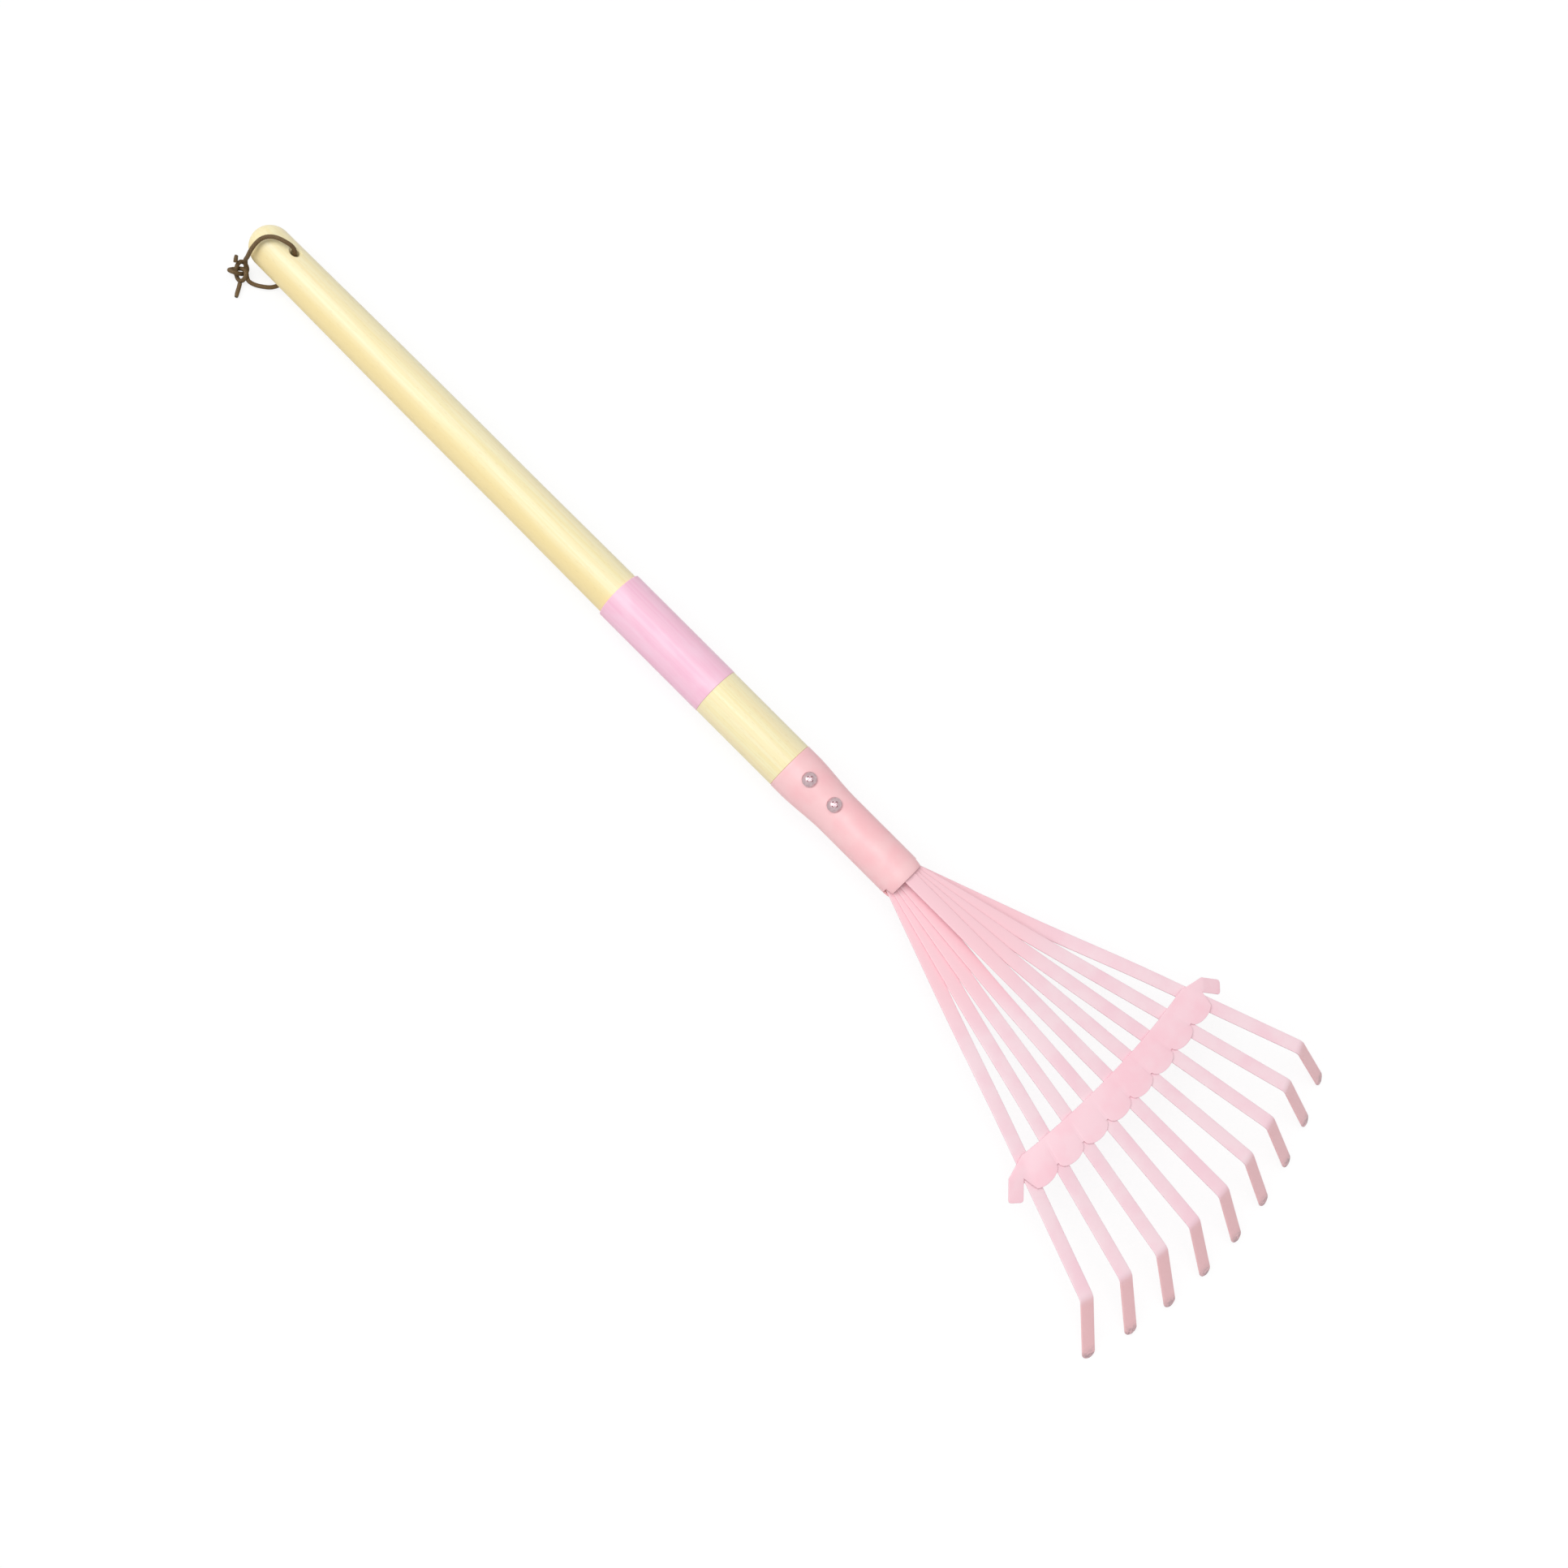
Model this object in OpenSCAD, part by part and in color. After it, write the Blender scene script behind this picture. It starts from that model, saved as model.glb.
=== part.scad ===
// Child's fan rake: turned wooden handle, sheet steel socket, nine flat sprung tines.
// The handle's axis is Y, and Y = 0 is the wood shoulder that the socket's rim meets.
// Minus Y runs to the tips, plus Y to the hanging hole. The teeth point to minus Z.

/* [Handle] */
// Bare wood from the socket's rim to the rounded end
wood_len = 374; // [300:1:520]
// Diameter of the straight seat between the socket and the colour band
seat_d = 26; // [25:0.1:28]
// Length of the straight seat
seat_len = 51; // [35:1:70]
// Diameter of the grip where the rounded end begins
grip_end_d = 21.9; // [19:0.1:24]
// Diameter of the cross hole for the hanging cord
hole_d = 4.6; // [4:0.1:6]
// Distance of the cross hole from the rounded end
hole_inset = 24.5; // [20:0.5:30]
// Turn of the cross hole about the handle's axis
hole_turn = 19.5; // [0:0.5:40]
// Depth and width of the cross hole's countersink
hole_chamfer = 1.2; // [0.5:0.1:2]

/* [Colour band] */
// Length of the band
band_len = 67; // [40:1:90]
// Wall of the band's sleeve
band_wall = 1; // [0.6:0.05:1.2]
// How far the band's outside stands proud of the straight seat
band_proud = 0.15; // [0:0.01:0.2]
// Play between the band and the wood under it
band_clear = 0.05; // [0.02:0.01:0.1]
// Rounding of the band's two ends
band_edge = 0.3; // [0.1:0.05:0.35]

/* [Socket] */
// Length of the socket from its rim to its mouth
sock_len = 79.2; // [76:0.1:90]
// Outside diameter at the rim
sock_d = 26.3; // [26:0.1:28]
// Outside diameter of the neck
neck_d = 23.1; // [22.9:0.1:25]
// Outside diameter of the mouth, which is rolled in
mouth_d = 21.5; // [21.2:0.1:21.8]
// Sheet thickness
sock_wall = 1; // [0.8:0.05:1.1]
// Straight length at the rim before the swaged shoulder
rim_len = 6; // [4:0.5:10]
// Length of the swaged shoulder
swage_len = 28; // [16:0.5:32]
// Length of the rolled mouth
mouth_len = 6; // [4:0.5:8]
// Play between the socket and what it holds
sock_clear = 0.1; // [0.05:0.01:0.15]

/* [Screws] */
// Distance of the first screw from the socket's rim
screw_inset = 12.3; // [10:0.1:14]
// Distance between the two screws
screw_pitch = 17; // [15:0.5:19]
// Turn of the screws' line about the handle's axis
screw_turn = -11.5; // [-20:0.5:20]
// Shank diameter
screw_d = 3.5; // [3:0.1:4]
// Length under the head
screw_len = 13; // [9:0.5:15]
// Head diameter
head_d = 7.6; // [6.5:0.1:8.5]
// Head height
head_h = 2.3; // [1.8:0.1:2.8]
// Width of the cross recess
recess_w = 1.1; // [0.8:0.1:1.4]
// Depth of the cross recess
recess_h = 1.4; // [1:0.1:1.6]
// Play around a shank in its hole
shank_clear = 0.1; // [0.05:0.01:0.2]

/* [Tines] */
// Width of a tine
tine_w = 7; // [6:0.1:7.2]
// Thickness of a tine
tine_t = 1.1; // [0.9:0.05:1.15]
// Angle between neighbouring tines
fan_pitch = 5.3; // [5:0.05:5.8]
// Distance of the fan's crossing point inside the socket's mouth
cross_in = 20.3; // [19:0.1:23]
// Length of a tine from the crossing point to its bend
reach = 231; // [210:1:270]
// Length of a tooth from the bend to its tip
tooth_len = 44; // [30:1:50]
// Angle that a tooth is bent down
tooth_bend = 50; // [35:1:75]
// Inside radius of the bend
bend_r = 4; // [2:0.5:6]
// Height of the middle tine above the handle's axis at the spreader
fan_z = 6.9; // [4:0.1:9]
// Drop of the outermost tines below the middle one at the spreader
fan_crown = 4.1; // [1:0.1:5]
// Gap between stacked or clamped steel faces
face_gap = 0.05; // [0.02:0.01:0.1]

/* [Root clamp] */
// Rivet shank through the stacked roots
rivet_d = 3; // [2.5:0.1:3.5]
// Rivet head diameter
rivet_head_d = 5.2; // [4.5:0.1:5.6]
// Rivet head height
rivet_head_h = 0.8; // [0.6:0.1:0.9]
// Wood left under the rivet's lower head
plug_under = 3; // [2:0.5:4]

/* [Spreader] */
// Distance of the spreader's middle from the crossing point
bar_reach = 161.1; // [150:0.1:185]
// Radius of the spreader's curve, seen from above
bar_curve_r = 515; // [400:5:800]
// Turn of the spreader in the plane of the fan, as fixed by hand
bar_turn = 2.2; // [-3:0.1:3]
// Width of the top plate without its lobes
bar_w = 13.8; // [11:0.1:16]
// Thickness of both plates
bar_t = 1; // [0.8:0.05:1.2]
// Width of the plate under the tines
back_w = 9; // [7:0.5:11]
// Flat length that each plate keeps past a tine's edge
bridge_side = 0.6; // [0.3:0.1:1]
// Height of the lobes along the edge nearest the teeth, one between each two tines
lobe_h = 4.4; // [2:0.1:5]
// Angle between neighbouring lobes
lobe_pitch = 5.5; // [5.3:0.05:5.8]
// Distance of each end tab's fold from the outermost tine's middle
tab_start = 6.8; // [6.6:0.1:8]
// Length of a tab from its fold
tab_len = 11.5; // [8:0.5:14]
// Width of a tab
tab_w = 7.4; // [6:0.1:8]
// Angle that a tab droops
tab_droop = 17; // [5:1:40]
// Angle that a tab turns outwards
tab_out = 43; // [38:1:48]

/* [Hanging cord] */
// Diameter of the cord
cord_d = 2.2; // [1.8:0.1:2.4]
// Unit size of the knot's loops
knot_unit = 1.64; // [1.56:0.02:1.8]

/* [Hidden] */

wood_colour = [0.97, 0.93, 0.70];
band_colour = [0.95, 0.72, 0.84];
pink_colour = [0.97, 0.76, 0.80];
steel_colour = [0.66, 0.66, 0.68];
cord_colour = [0.36, 0.25, 0.15];

// One overrun serves every cut.
overrun = 1;
round_fn = 96;
small_fn = 48;

// The fan: which place a tine has, its angle, and where its root lies in the stack.
tine_count = 9;
side_count = (tine_count - 1) / 2;
function place(k) = k - 1 - side_count;
function fan_angle(i) = i * fan_pitch;
// The middle root is on top. Under it come its right neighbours, then the left ones from the
// middle outwards, and the outermost right one is at the bottom.
function stack_order(i) = i == side_count ? 2 * side_count : i < 0 ? side_count - 1 - i : i;

// Socket radii and places along the axis.
rim_r = sock_d / 2;
neck_r = neck_d / 2;
mouth_r = mouth_d / 2;
bore_r = neck_r - sock_wall;
mouth_y = -sock_len;
cross_y = mouth_y + cross_in;
tenon_end_y = cross_y + tine_w / 2 + overrun;

// The stack of roots hangs just under the rolled mouth's upper edge, at a whole number of gaps.
root_pitch = tine_t + face_gap;
mouth_bore_r = mouth_r - sock_wall;
stack_room = sqrt(pow(mouth_bore_r, 2) - pow(tine_w / 2, 2)) - 4 * sock_clear;
stack_top = floor(stack_room / face_gap) * face_gap;
stack_end = stack_top - (tine_count - 1) * root_pitch - tine_t;
function root_z(i) = stack_top - tine_t / 2 - stack_order(i) * root_pitch;

// Heights of the tines at the spreader, and where they stop and start to settle there.
function bar_z(i) = fan_z - fan_crown * pow(i / side_count, 2);
part_r = (tine_w / 2 + face_gap) / sin(fan_pitch / 2);
settle_r = bar_reach - bar_w / 2 - tine_w / 2;

// A smooth step from 0 to 1.
function ease(x) = let (c = min(max(x, 0), 1)) c * c * (3 - 2 * c);
function mix(a, b, w) = a + (b - a) * w;

// A curve through stations: each stretch eases with the slopes of its neighbours.
function slope_at(p, i) = (p[min(i + 1, len(p) - 1)] - p[max(i - 1, 0)]) / 2;
function hermite(a, b, da, db, t) =
    (2 * pow(t, 3) - 3 * t * t + 1) * a + (pow(t, 3) - 2 * t * t + t) * da
    + (3 * t * t - 2 * pow(t, 3)) * b + (pow(t, 3) - t * t) * db;
function smooth(p, n) = concat(
    [for (i = [0:len(p) - 2], k = [0:n - 1])
        hermite(p[i], p[i + 1], slope_at(p, i), slope_at(p, i + 1), k / n)],
    [p[len(p) - 1]]);

// Handle profile, as [radius, distance along Y].
band_seat_r = seat_d / 2 + band_proud - band_wall - band_clear;
band_bore_r = band_seat_r + band_clear;
band_y = seat_len;
band_top_y = band_y + band_len;
grip_end_r = grip_end_d / 2;
dome_y = wood_len - grip_end_r;
// Shares of the drop in radius left at even steps along the grip
grip_shares = [1, 0.85, 0.69, 0.7, 0.63, 0.47, 0.23, 0];
grip_stations = [for (k = [0:len(grip_shares) - 1])
    [mix(grip_end_r, band_seat_r, grip_shares[k]),
        mix(band_top_y, dome_y, k / (len(grip_shares) - 1))]];
dome_steps = 10;
dome_points = [for (k = [1:dome_steps])
    let (a = 90 * k / dome_steps) [grip_end_r * cos(a), dome_y + grip_end_r * sin(a)]];

// The swage is an even S between the rim's and the neck's radius.
swage_steps = 8;
function swage_points(inset) = [for (k = [0:swage_steps])
    [mix(rim_r, neck_r, ease(k / swage_steps)) - inset, -rim_len - swage_len * k / swage_steps]];
mouth_steps = 4;
function mouth_points(inset) = [for (k = [0:mouth_steps])
    let (a = 90 * k / mouth_steps)
    [mouth_r + (neck_r - mouth_r) * cos(a) - inset,
        mouth_y + mouth_len * (1 - sin(a))]];

module turned(points) {
    rotate([-90, 0, 0])
        rotate_extrude($fn = round_fn)
            polygon(points);
}

// Things along the screws' line: the local Z points outwards from the axis.
screw_y = [-screw_inset, -screw_inset - screw_pitch];
module at_screw(n) {
    translate([0, screw_y[n], 0])
        rotate([0, screw_turn, 0])
            children();
}

// The cross hole's direction becomes the local Z.
hole_y = wood_len - hole_inset;
module at_hole() {
    translate([0, hole_y, 0])
        rotate([0, hole_turn, 0])
            children();
}

module handle() {
    tenon_r = rim_r - sock_wall - sock_clear;
    tenon_profile = concat(
        [[0, tenon_end_y], [bore_r - sock_clear - overrun, tenon_end_y],
            [bore_r - sock_clear, tenon_end_y + overrun]],
        [for (k = [swage_steps:-1:0]) swage_points(sock_wall + sock_clear)[k]],
        [[tenon_r, 0], [seat_d / 2, 0], [seat_d / 2, band_y], [band_seat_r, band_y]],
        smooth(grip_stations, 4),
        dome_points);
    color(wood_colour)
        difference() {
            turned(tenon_profile);
            at_hole() {
                cylinder(d = hole_d, h = 2 * seat_d, center = true, $fn = small_fn);
                for (side = [0, 180])
                    rotate([side, 0, 0])
                        translate([0, 0, grip_end_r - hole_chamfer])
                            cylinder(d1 = hole_d, d2 = hole_d + 4 * hole_chamfer,
                                h = 2 * hole_chamfer, $fn = small_fn);
            }
            for (n = [0, 1])
                at_screw(n)
                    translate([0, 0, head_seat_r(n) - screw_len - shank_clear])
                        cylinder(d = screw_d + 2 * shank_clear, h = screw_len, $fn = small_fn);
        }
}

module colour_band() {
    outer_r = band_bore_r + band_wall;
    corner_steps = 3;
    corner = [for (k = [0:corner_steps]) let (a = 90 * k / corner_steps)
        [band_edge * (1 - cos(a)), band_edge * (1 - sin(a))]];
    color(band_colour)
        turned(concat(
            [[band_bore_r, band_y + face_gap]],
            [for (c = corner) [outer_r - c[1], band_y + face_gap + c[0]]],
            [for (k = [corner_steps:-1:0])
                [outer_r - corner[k][1], band_top_y - corner[k][0]]],
            [[band_bore_r, band_top_y]]));
}

// Side slots let the outer tines out of the mouth.
outer_angle = fan_angle(side_count);
slot_from_r = (bore_r - tine_w / 2 / cos(outer_angle)) / tan(outer_angle) - tine_t;
slot_len = cross_in - slot_from_r;
slot_low = stack_end - 4 * sock_clear;
function slot_high(side) = max([for (i = [2:side_count]) root_z(side * i)])
    + tine_t / 2 + 4 * sock_clear;

module socket() {
    outside = concat([[rim_r, -face_gap]], swage_points(0), mouth_points(0));
    inside = concat([[rim_r - sock_wall, -face_gap]], swage_points(sock_wall),
        mouth_points(sock_wall));
    last = len(inside) - 1;
    color(pink_colour)
        difference() {
            turned(concat(outside, [for (k = [last:-1:0]) inside[k]]));
            for (n = [0, 1])
                at_screw(n)
                    cylinder(d = screw_d + 2 * shank_clear, h = 2 * rim_r, $fn = small_fn);
            if (slot_len > 0)
                for (side = [-1, 1])
                    translate([side * rim_r, mouth_y, (slot_low + slot_high(side)) / 2])
                        cube([rim_r, 2 * slot_len, slot_high(side) - slot_low], center = true);
        }
}

// The head rests on the highest point of the sheet under it.
function sheet_r(y) = mix(rim_r, neck_r, ease((-y - rim_len) / swage_len));
function head_seat_r(n) = sheet_r(screw_y[n] + head_d / 2) + face_gap;
module screw(n) {
    seat_r = head_seat_r(n);
    dome_r = (pow(head_d / 2, 2) + pow(head_h, 2)) / (2 * head_h);
    dome_half = asin(head_d / 2 / dome_r);
    head_steps = 8;
    head = [for (k = [0:head_steps]) let (a = dome_half * (1 - k / head_steps))
        [dome_r * sin(a), seat_r + head_h - dome_r + dome_r * cos(a)]];
    tip_r = seat_r - screw_len;
    color(steel_colour)
        at_screw(n)
            difference() {
                rotate_extrude($fn = small_fn)
                    polygon(concat(
                        [[0, tip_r], [screw_d / 2, tip_r + screw_d], [screw_d / 2, seat_r]],
                        head));
                for (turn = [0, 90])
                    rotate([0, 0, turn])
                        translate([0, 0, seat_r + head_h])
                            cube([head_d / 2 + recess_w, recess_w, 2 * recess_h], center = true);
            }
}

// A tine's line from the crossing point outwards, as [distance, height].
lay_steps = 10;
bend_steps = 8;
line_bend_r = bend_r + tine_t / 2;
function tine_line(i) = concat(
    [[0, root_z(i)]],
    [for (k = [0:lay_steps])
        [mix(part_r, settle_r, k / lay_steps), mix(root_z(i), bar_z(i), ease(k / lay_steps))]],
    [for (k = [0:bend_steps]) let (a = tooth_bend * k / bend_steps)
        [reach - line_bend_r * tan(tooth_bend / 2) + line_bend_r * sin(a),
            bar_z(i) - line_bend_r * (1 - cos(a))]]);
// The tooth's rounded end begins here.
function tooth_end(i) = let (run = tooth_len - tine_w / 2)
    [reach + run * cos(tooth_bend), bar_z(i) - run * sin(tooth_bend)];

// Both faces of a line that has the given thickness.
function heading(p, k) = let (a = p[max(k - 1, 0)], b = p[min(k + 1, len(p) - 1)])
    (b - a) / norm(b - a);
function face_of(p, off) = [for (k = [0:len(p) - 1]) let (h = heading(p, k))
    p[k] + off * [-h[1], h[0]]];
function strip(p, t) = let (low = face_of(p, -t / 2))
    concat(face_of(p, t / 2), [for (k = [len(low) - 1:-1:0]) low[k]]);

module tine(k) {
    i = place(k);
    tip = tooth_end(i);
    color(pink_colour)
        translate([0, cross_y, 0])
            rotate([0, 0, fan_angle(i)])
                difference() {
                    union() {
                        rotate([90, 0, -90])
                            linear_extrude(height = tine_w, center = true)
                                polygon(strip(concat(tine_line(i), [tip]), tine_t));
                        translate([0, 0, root_z(i)])
                            cylinder(d = tine_w, h = tine_t, center = true, $fn = small_fn);
                        translate([0, -tip[0], tip[1]])
                            rotate([tooth_bend, 0, 0])
                                cylinder(d = tine_w, h = tine_t, center = true, $fn = small_fn);
                    }
                    translate([0, 0, root_z(i)])
                        cylinder(d = rivet_d + 2 * shank_clear, h = 2 * tine_t, center = true,
                            $fn = small_fn);
                }
}

// A half-round hardwood plug under the roots wedges the stack in the neck.
plug_from_y = tenon_end_y - overrun / 2;
plug_to_y = mouth_y + mouth_len;
plug_top = stack_end - face_gap;
plug_r = bore_r - sock_clear;
head_low_z = plug_under - plug_r;
module root_plug() {
    color(wood_colour)
        difference() {
            intersection() {
                translate([0, plug_from_y, 0])
                    rotate([90, 0, 0])
                        cylinder(r = plug_r, h = plug_from_y - plug_to_y, $fn = round_fn);
                translate([-plug_r, plug_to_y, plug_top - 2 * plug_r])
                    cube([2 * plug_r, plug_from_y - plug_to_y, 2 * plug_r]);
            }
            translate([0, cross_y, -plug_r]) {
                cylinder(d = rivet_d + 2 * shank_clear, h = 2 * plug_r, $fn = small_fn);
                cylinder(d = rivet_head_d + 2 * shank_clear, h = plug_under, $fn = small_fn);
            }
        }
}

module root_rivet() {
    color(steel_colour)
        translate([0, cross_y, 0]) {
            rotate_extrude($fn = small_fn)
                polygon([
                    [0, head_low_z - face_gap - rivet_head_h],
                    [rivet_head_d / 2, head_low_z - face_gap - rivet_head_h],
                    [rivet_head_d / 2, head_low_z - face_gap],
                    [rivet_d / 2, head_low_z - face_gap],
                    [rivet_d / 2, stack_top + face_gap],
                    [rivet_head_d / 2, stack_top + face_gap],
                    [rivet_d / 2, stack_top + face_gap + rivet_head_h],
                    [0, stack_top + face_gap + rivet_head_h]]);
        }
}

// The spreader's plates follow angles about the crossing point, along an arc that is turned a
// little. The top plate is a smooth crown over the tines. The plate under them is flat below
// each tine and rises between them to meet the top plate.
plate_end = outer_angle;
back_end = outer_angle + arc_angle(tine_w / 2);
plate_steps = 224;
curve_centre = bar_reach - bar_curve_r;
function bar_r(a) = curve_centre * cos(a)
    + sqrt(pow(bar_curve_r, 2) - pow(curve_centre * sin(a), 2))
    + bar_reach * sin(a) * tan(bar_turn);
function nearest(a) = min(max(round(a / fan_pitch), -side_count), side_count);
function arc_angle(mm) = mm / bar_reach * 180 / PI;
function off_tine(a) = (a - fan_angle(nearest(a))) / arc_angle(1);
half_pitch = fan_pitch / 2 / arc_angle(1);
flat_half = tine_w / 2 + bridge_side;
function closing(a) = ease((abs(off_tine(a)) - flat_half) / (half_pitch - flat_half - bridge_side));
// The crown is shifted out by half a tine, so that it clears each tine's outer edge.
function crown_z(a) = bar_z(max(abs(a) - arc_angle(tine_w / 2), 0) / fan_pitch)
    + tine_t / 2 + face_gap;
function back_z(a) = mix(bar_z(nearest(a)) - tine_t / 2, crown_z(a), closing(a)) - face_gap;

// Lobes along the edge nearest the teeth, one between each two tines
lobe_share = 0.93;
function lobe(a) = let (x = a / lobe_pitch - 0.5, d = x - round(x))
    lobe_h * sqrt(max(0, 1 - pow(2 * d / lobe_share, 2)));

// A plate is a run of four-cornered rings, one to each angle, closed at both ends.
function at_polar(a, r, z) = [r * sin(a), -r * cos(a), z];
function ring(a, inner, outer, z0, z1) = [at_polar(a, inner, z0), at_polar(a, outer, z0),
    at_polar(a, outer, z1), at_polar(a, inner, z1)];
function side_faces(rings, n) = [for (k = [0:rings - 2], j = [0:n - 1], tri = [0, 1])
    let (a = k * n + j, b = k * n + (j + 1) % n, c = b + n, d = a + n)
    tri == 0 ? [a, b, c] : [a, c, d]];
function cap_faces(rings, n) = concat(
    [for (j = [1:n - 2]) [0, j + 1, j]],
    [for (j = [1:n - 2]) let (s = (rings - 1) * n) [s, s + j, s + j + 1]]);

module swept_rings(rings) {
    n = len(rings[0]);
    polyhedron(points = [for (r = rings, p = r) p],
        faces = concat(side_faces(len(rings), n), cap_faces(len(rings), n)));
}

// Past the outermost tine the plate narrows to a fold, where a tab turns outwards and droops.
tab_corner = 1.5;
tab_rings = [[0, 0], [tab_len - tab_corner, 0], [tab_len - 0.3 * tab_corner, 0.3 * tab_corner],
    [tab_len, tab_corner]];
function tab_point(side, run, across, z) = let (a = outer_angle + arc_angle(tab_start))
    [side * (bar_r(side * a) * sin(a) + run * sin(tab_out) + across * cos(tab_out)),
        -bar_r(side * a) * cos(a) - run * cos(tab_out) + across * sin(tab_out), z];
function tab_ring(side, run, corner) = let (half = tab_w / 2 - corner,
    z = crown_z(plate_end) - run * tan(tab_droop), flat = run * cos(tab_droop))
    [tab_point(side, flat, half, z), tab_point(side, flat, -half, z),
        tab_point(side, flat, -half, z + bar_t), tab_point(side, flat, half, z + bar_t)];

module spreader_plate() {
    angles = [for (k = [0:plate_steps]) mix(-plate_end, plate_end, k / plate_steps)];
    last = len(tab_rings) - 1;
    color(pink_colour)
        translate([0, cross_y, 0])
            swept_rings(concat(
                [for (k = [last:-1:0]) tab_ring(-1, tab_rings[k][0], tab_rings[k][1])],
                [for (a = angles)
                    ring(a, bar_r(a) - bar_w / 2, bar_r(a) + bar_w / 2 + lobe(a),
                        crown_z(a), crown_z(a) + bar_t)],
                [for (k = [0:last]) tab_ring(1, tab_rings[k][0], tab_rings[k][1])]));
}

module spreader_back() {
    angles = [for (k = [0:plate_steps]) mix(-back_end, back_end, k / plate_steps)];
    color(pink_colour)
        translate([0, cross_y, 0])
            swept_rings([for (a = angles)
                ring(a, bar_r(a) - back_w / 2, bar_r(a) + back_w / 2,
                    back_z(a) - bar_t, back_z(a))]);
}

// The cord's route in millimetres, chosen by hand: over the rounded end to the knot, and back
// under the handle to the same hole. Both legs leave the hole along its axis.
upper_route = [[2.8, 349.5, 7.9], [3.0, 349.5, 8.5], [3.6, 350.1, 10.6], [3.3, 352.0, 13.0],
    [2.3, 354.4, 14.1], [-0.1, 360.1, 14.0], [-4.5, 363.7, 13.0], [-8.6, 364.5, 10.8],
    [-11.0, 364.4, 9.2], [-13.2, 365.1, 3.5], [-13.1, 366.3, -0.1], [-12.6, 367.9, -7.9]];
lower_route = [[-2.8, 349.5, -7.9], [-3.0, 349.5, -8.5], [-4.1, 349.7, -10.3],
    [-7.9, 351.0, -12.2], [-10.5, 352.3, -12.3], [-13.1, 354.6, -12.0], [-16.0, 358.9, -11.9],
    [-16.9, 361.4, -10.7]];
long_tail_route = [[-20.7, 363.2, -11.7], [-22.6, 361.9, -12.1], [-24.8, 360.5, -12.3],
    [-27.0, 358.9, -12.3]];
short_tail_route = [[-16.4, 370.8, -6.4], [-15.7, 371.4, -5.6], [-15.0, 371.9, -4.8],
    [-14.3, 372.3, -4.0]];
knot_centre = [-16.9, 367.6, -10.1];
cord_sides = 8;
cord_r = cord_d / 2;

// Frames carried along a route without twist.
function unit(v) = v / norm(v);
function travel(p, k) = unit(p[min(k + 1, len(p) - 1)] - p[max(k - 1, 0)]);
function across(v, t) = unit(v - (v * t) * t);
function frames(p, k, v) = k == len(p) ? []
    : let (n = across(v, travel(p, k))) concat([n], frames(p, k + 1, n));
function tube_ring(c, t, n, r) = let (b = cross(n, t))
    [for (j = [0:cord_sides - 1]) let (a = 360 * j / cord_sides) c + r * (cos(a) * n + sin(a) * b)];
function tube_rings(p, r) = let (n = frames(p, 0, [0.3, 1, 0.2]))
    [for (k = [0:len(p) - 1]) tube_ring(p[k], travel(p, k), n[k], r)];

module cord_run(route) {
    color(cord_colour)
        swept_rings(tube_rings(route, cord_r));
}

// An overhand knot drawn as its closed three-lobed line, lying flat.
knot_steps = 48;
knot_rise = 1.34;
knot_turn = -17;
function knot_point(k) = let (a = 360 * k / knot_steps, x = sin(a) + 2 * sin(2 * a),
        y = cos(a) - 2 * cos(2 * a))
    knot_centre + knot_unit * [x * cos(knot_turn) - y * sin(knot_turn),
        x * sin(knot_turn) + y * cos(knot_turn), -knot_rise * sin(3 * a)];
function knot_travel(k) = unit(knot_point(k + 1) - knot_point(k - 1));
module cord_knot() {
    rings = [for (k = [0:knot_steps - 1])
        tube_ring(knot_point(k), knot_travel(k), across([0, 0, 1], knot_travel(k)), cord_r)];
    n = cord_sides;
    count = len(rings) * n;
    color(cord_colour)
        polyhedron(points = [for (r = rings, p = r) p],
            faces = [for (k = [0:len(rings) - 1], j = [0:n - 1], tri = [0, 1])
                let (a = k * n + j, b = k * n + (j + 1) % n,
                    c = (b + n) % count, d = (a + n) % count)
                tri == 0 ? [a, b, c] : [a, c, d]]);
}

module cord_in_hole() {
    color(cord_colour)
        at_hole()
            cylinder(d = cord_d, center = true, $fn = small_fn,
                h = 2 * norm([upper_route[0][0], upper_route[0][2]]) - face_gap);
}

handle();
colour_band();
socket();
screw(0);  // screw_upper
screw(1);  // screw_lower
tine(1);  // tine_1
tine(2);  // tine_2
tine(3);  // tine_3
tine(4);  // tine_4
tine(5);  // tine_5
tine(6);  // tine_6
tine(7);  // tine_7
tine(8);  // tine_8
tine(9);  // tine_9
root_plug();
root_rivet();
spreader_plate();
spreader_back();
cord_in_hole();
cord_run(upper_route);  // cord_upper_run
cord_run(lower_route);  // cord_lower_run
cord_knot();
cord_run(long_tail_route);  // cord_long_tail
cord_run(short_tail_route);  // cord_short_tail
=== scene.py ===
"""Child's fan rake, dressed for the picture.

Everything is in metres in the solids' frame: Y is the handle's axis and Y = 0 the wood shoulder
at the socket's rim. Minus Y runs to the tips, and the teeth point to minus Z.
"""

import math

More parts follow.
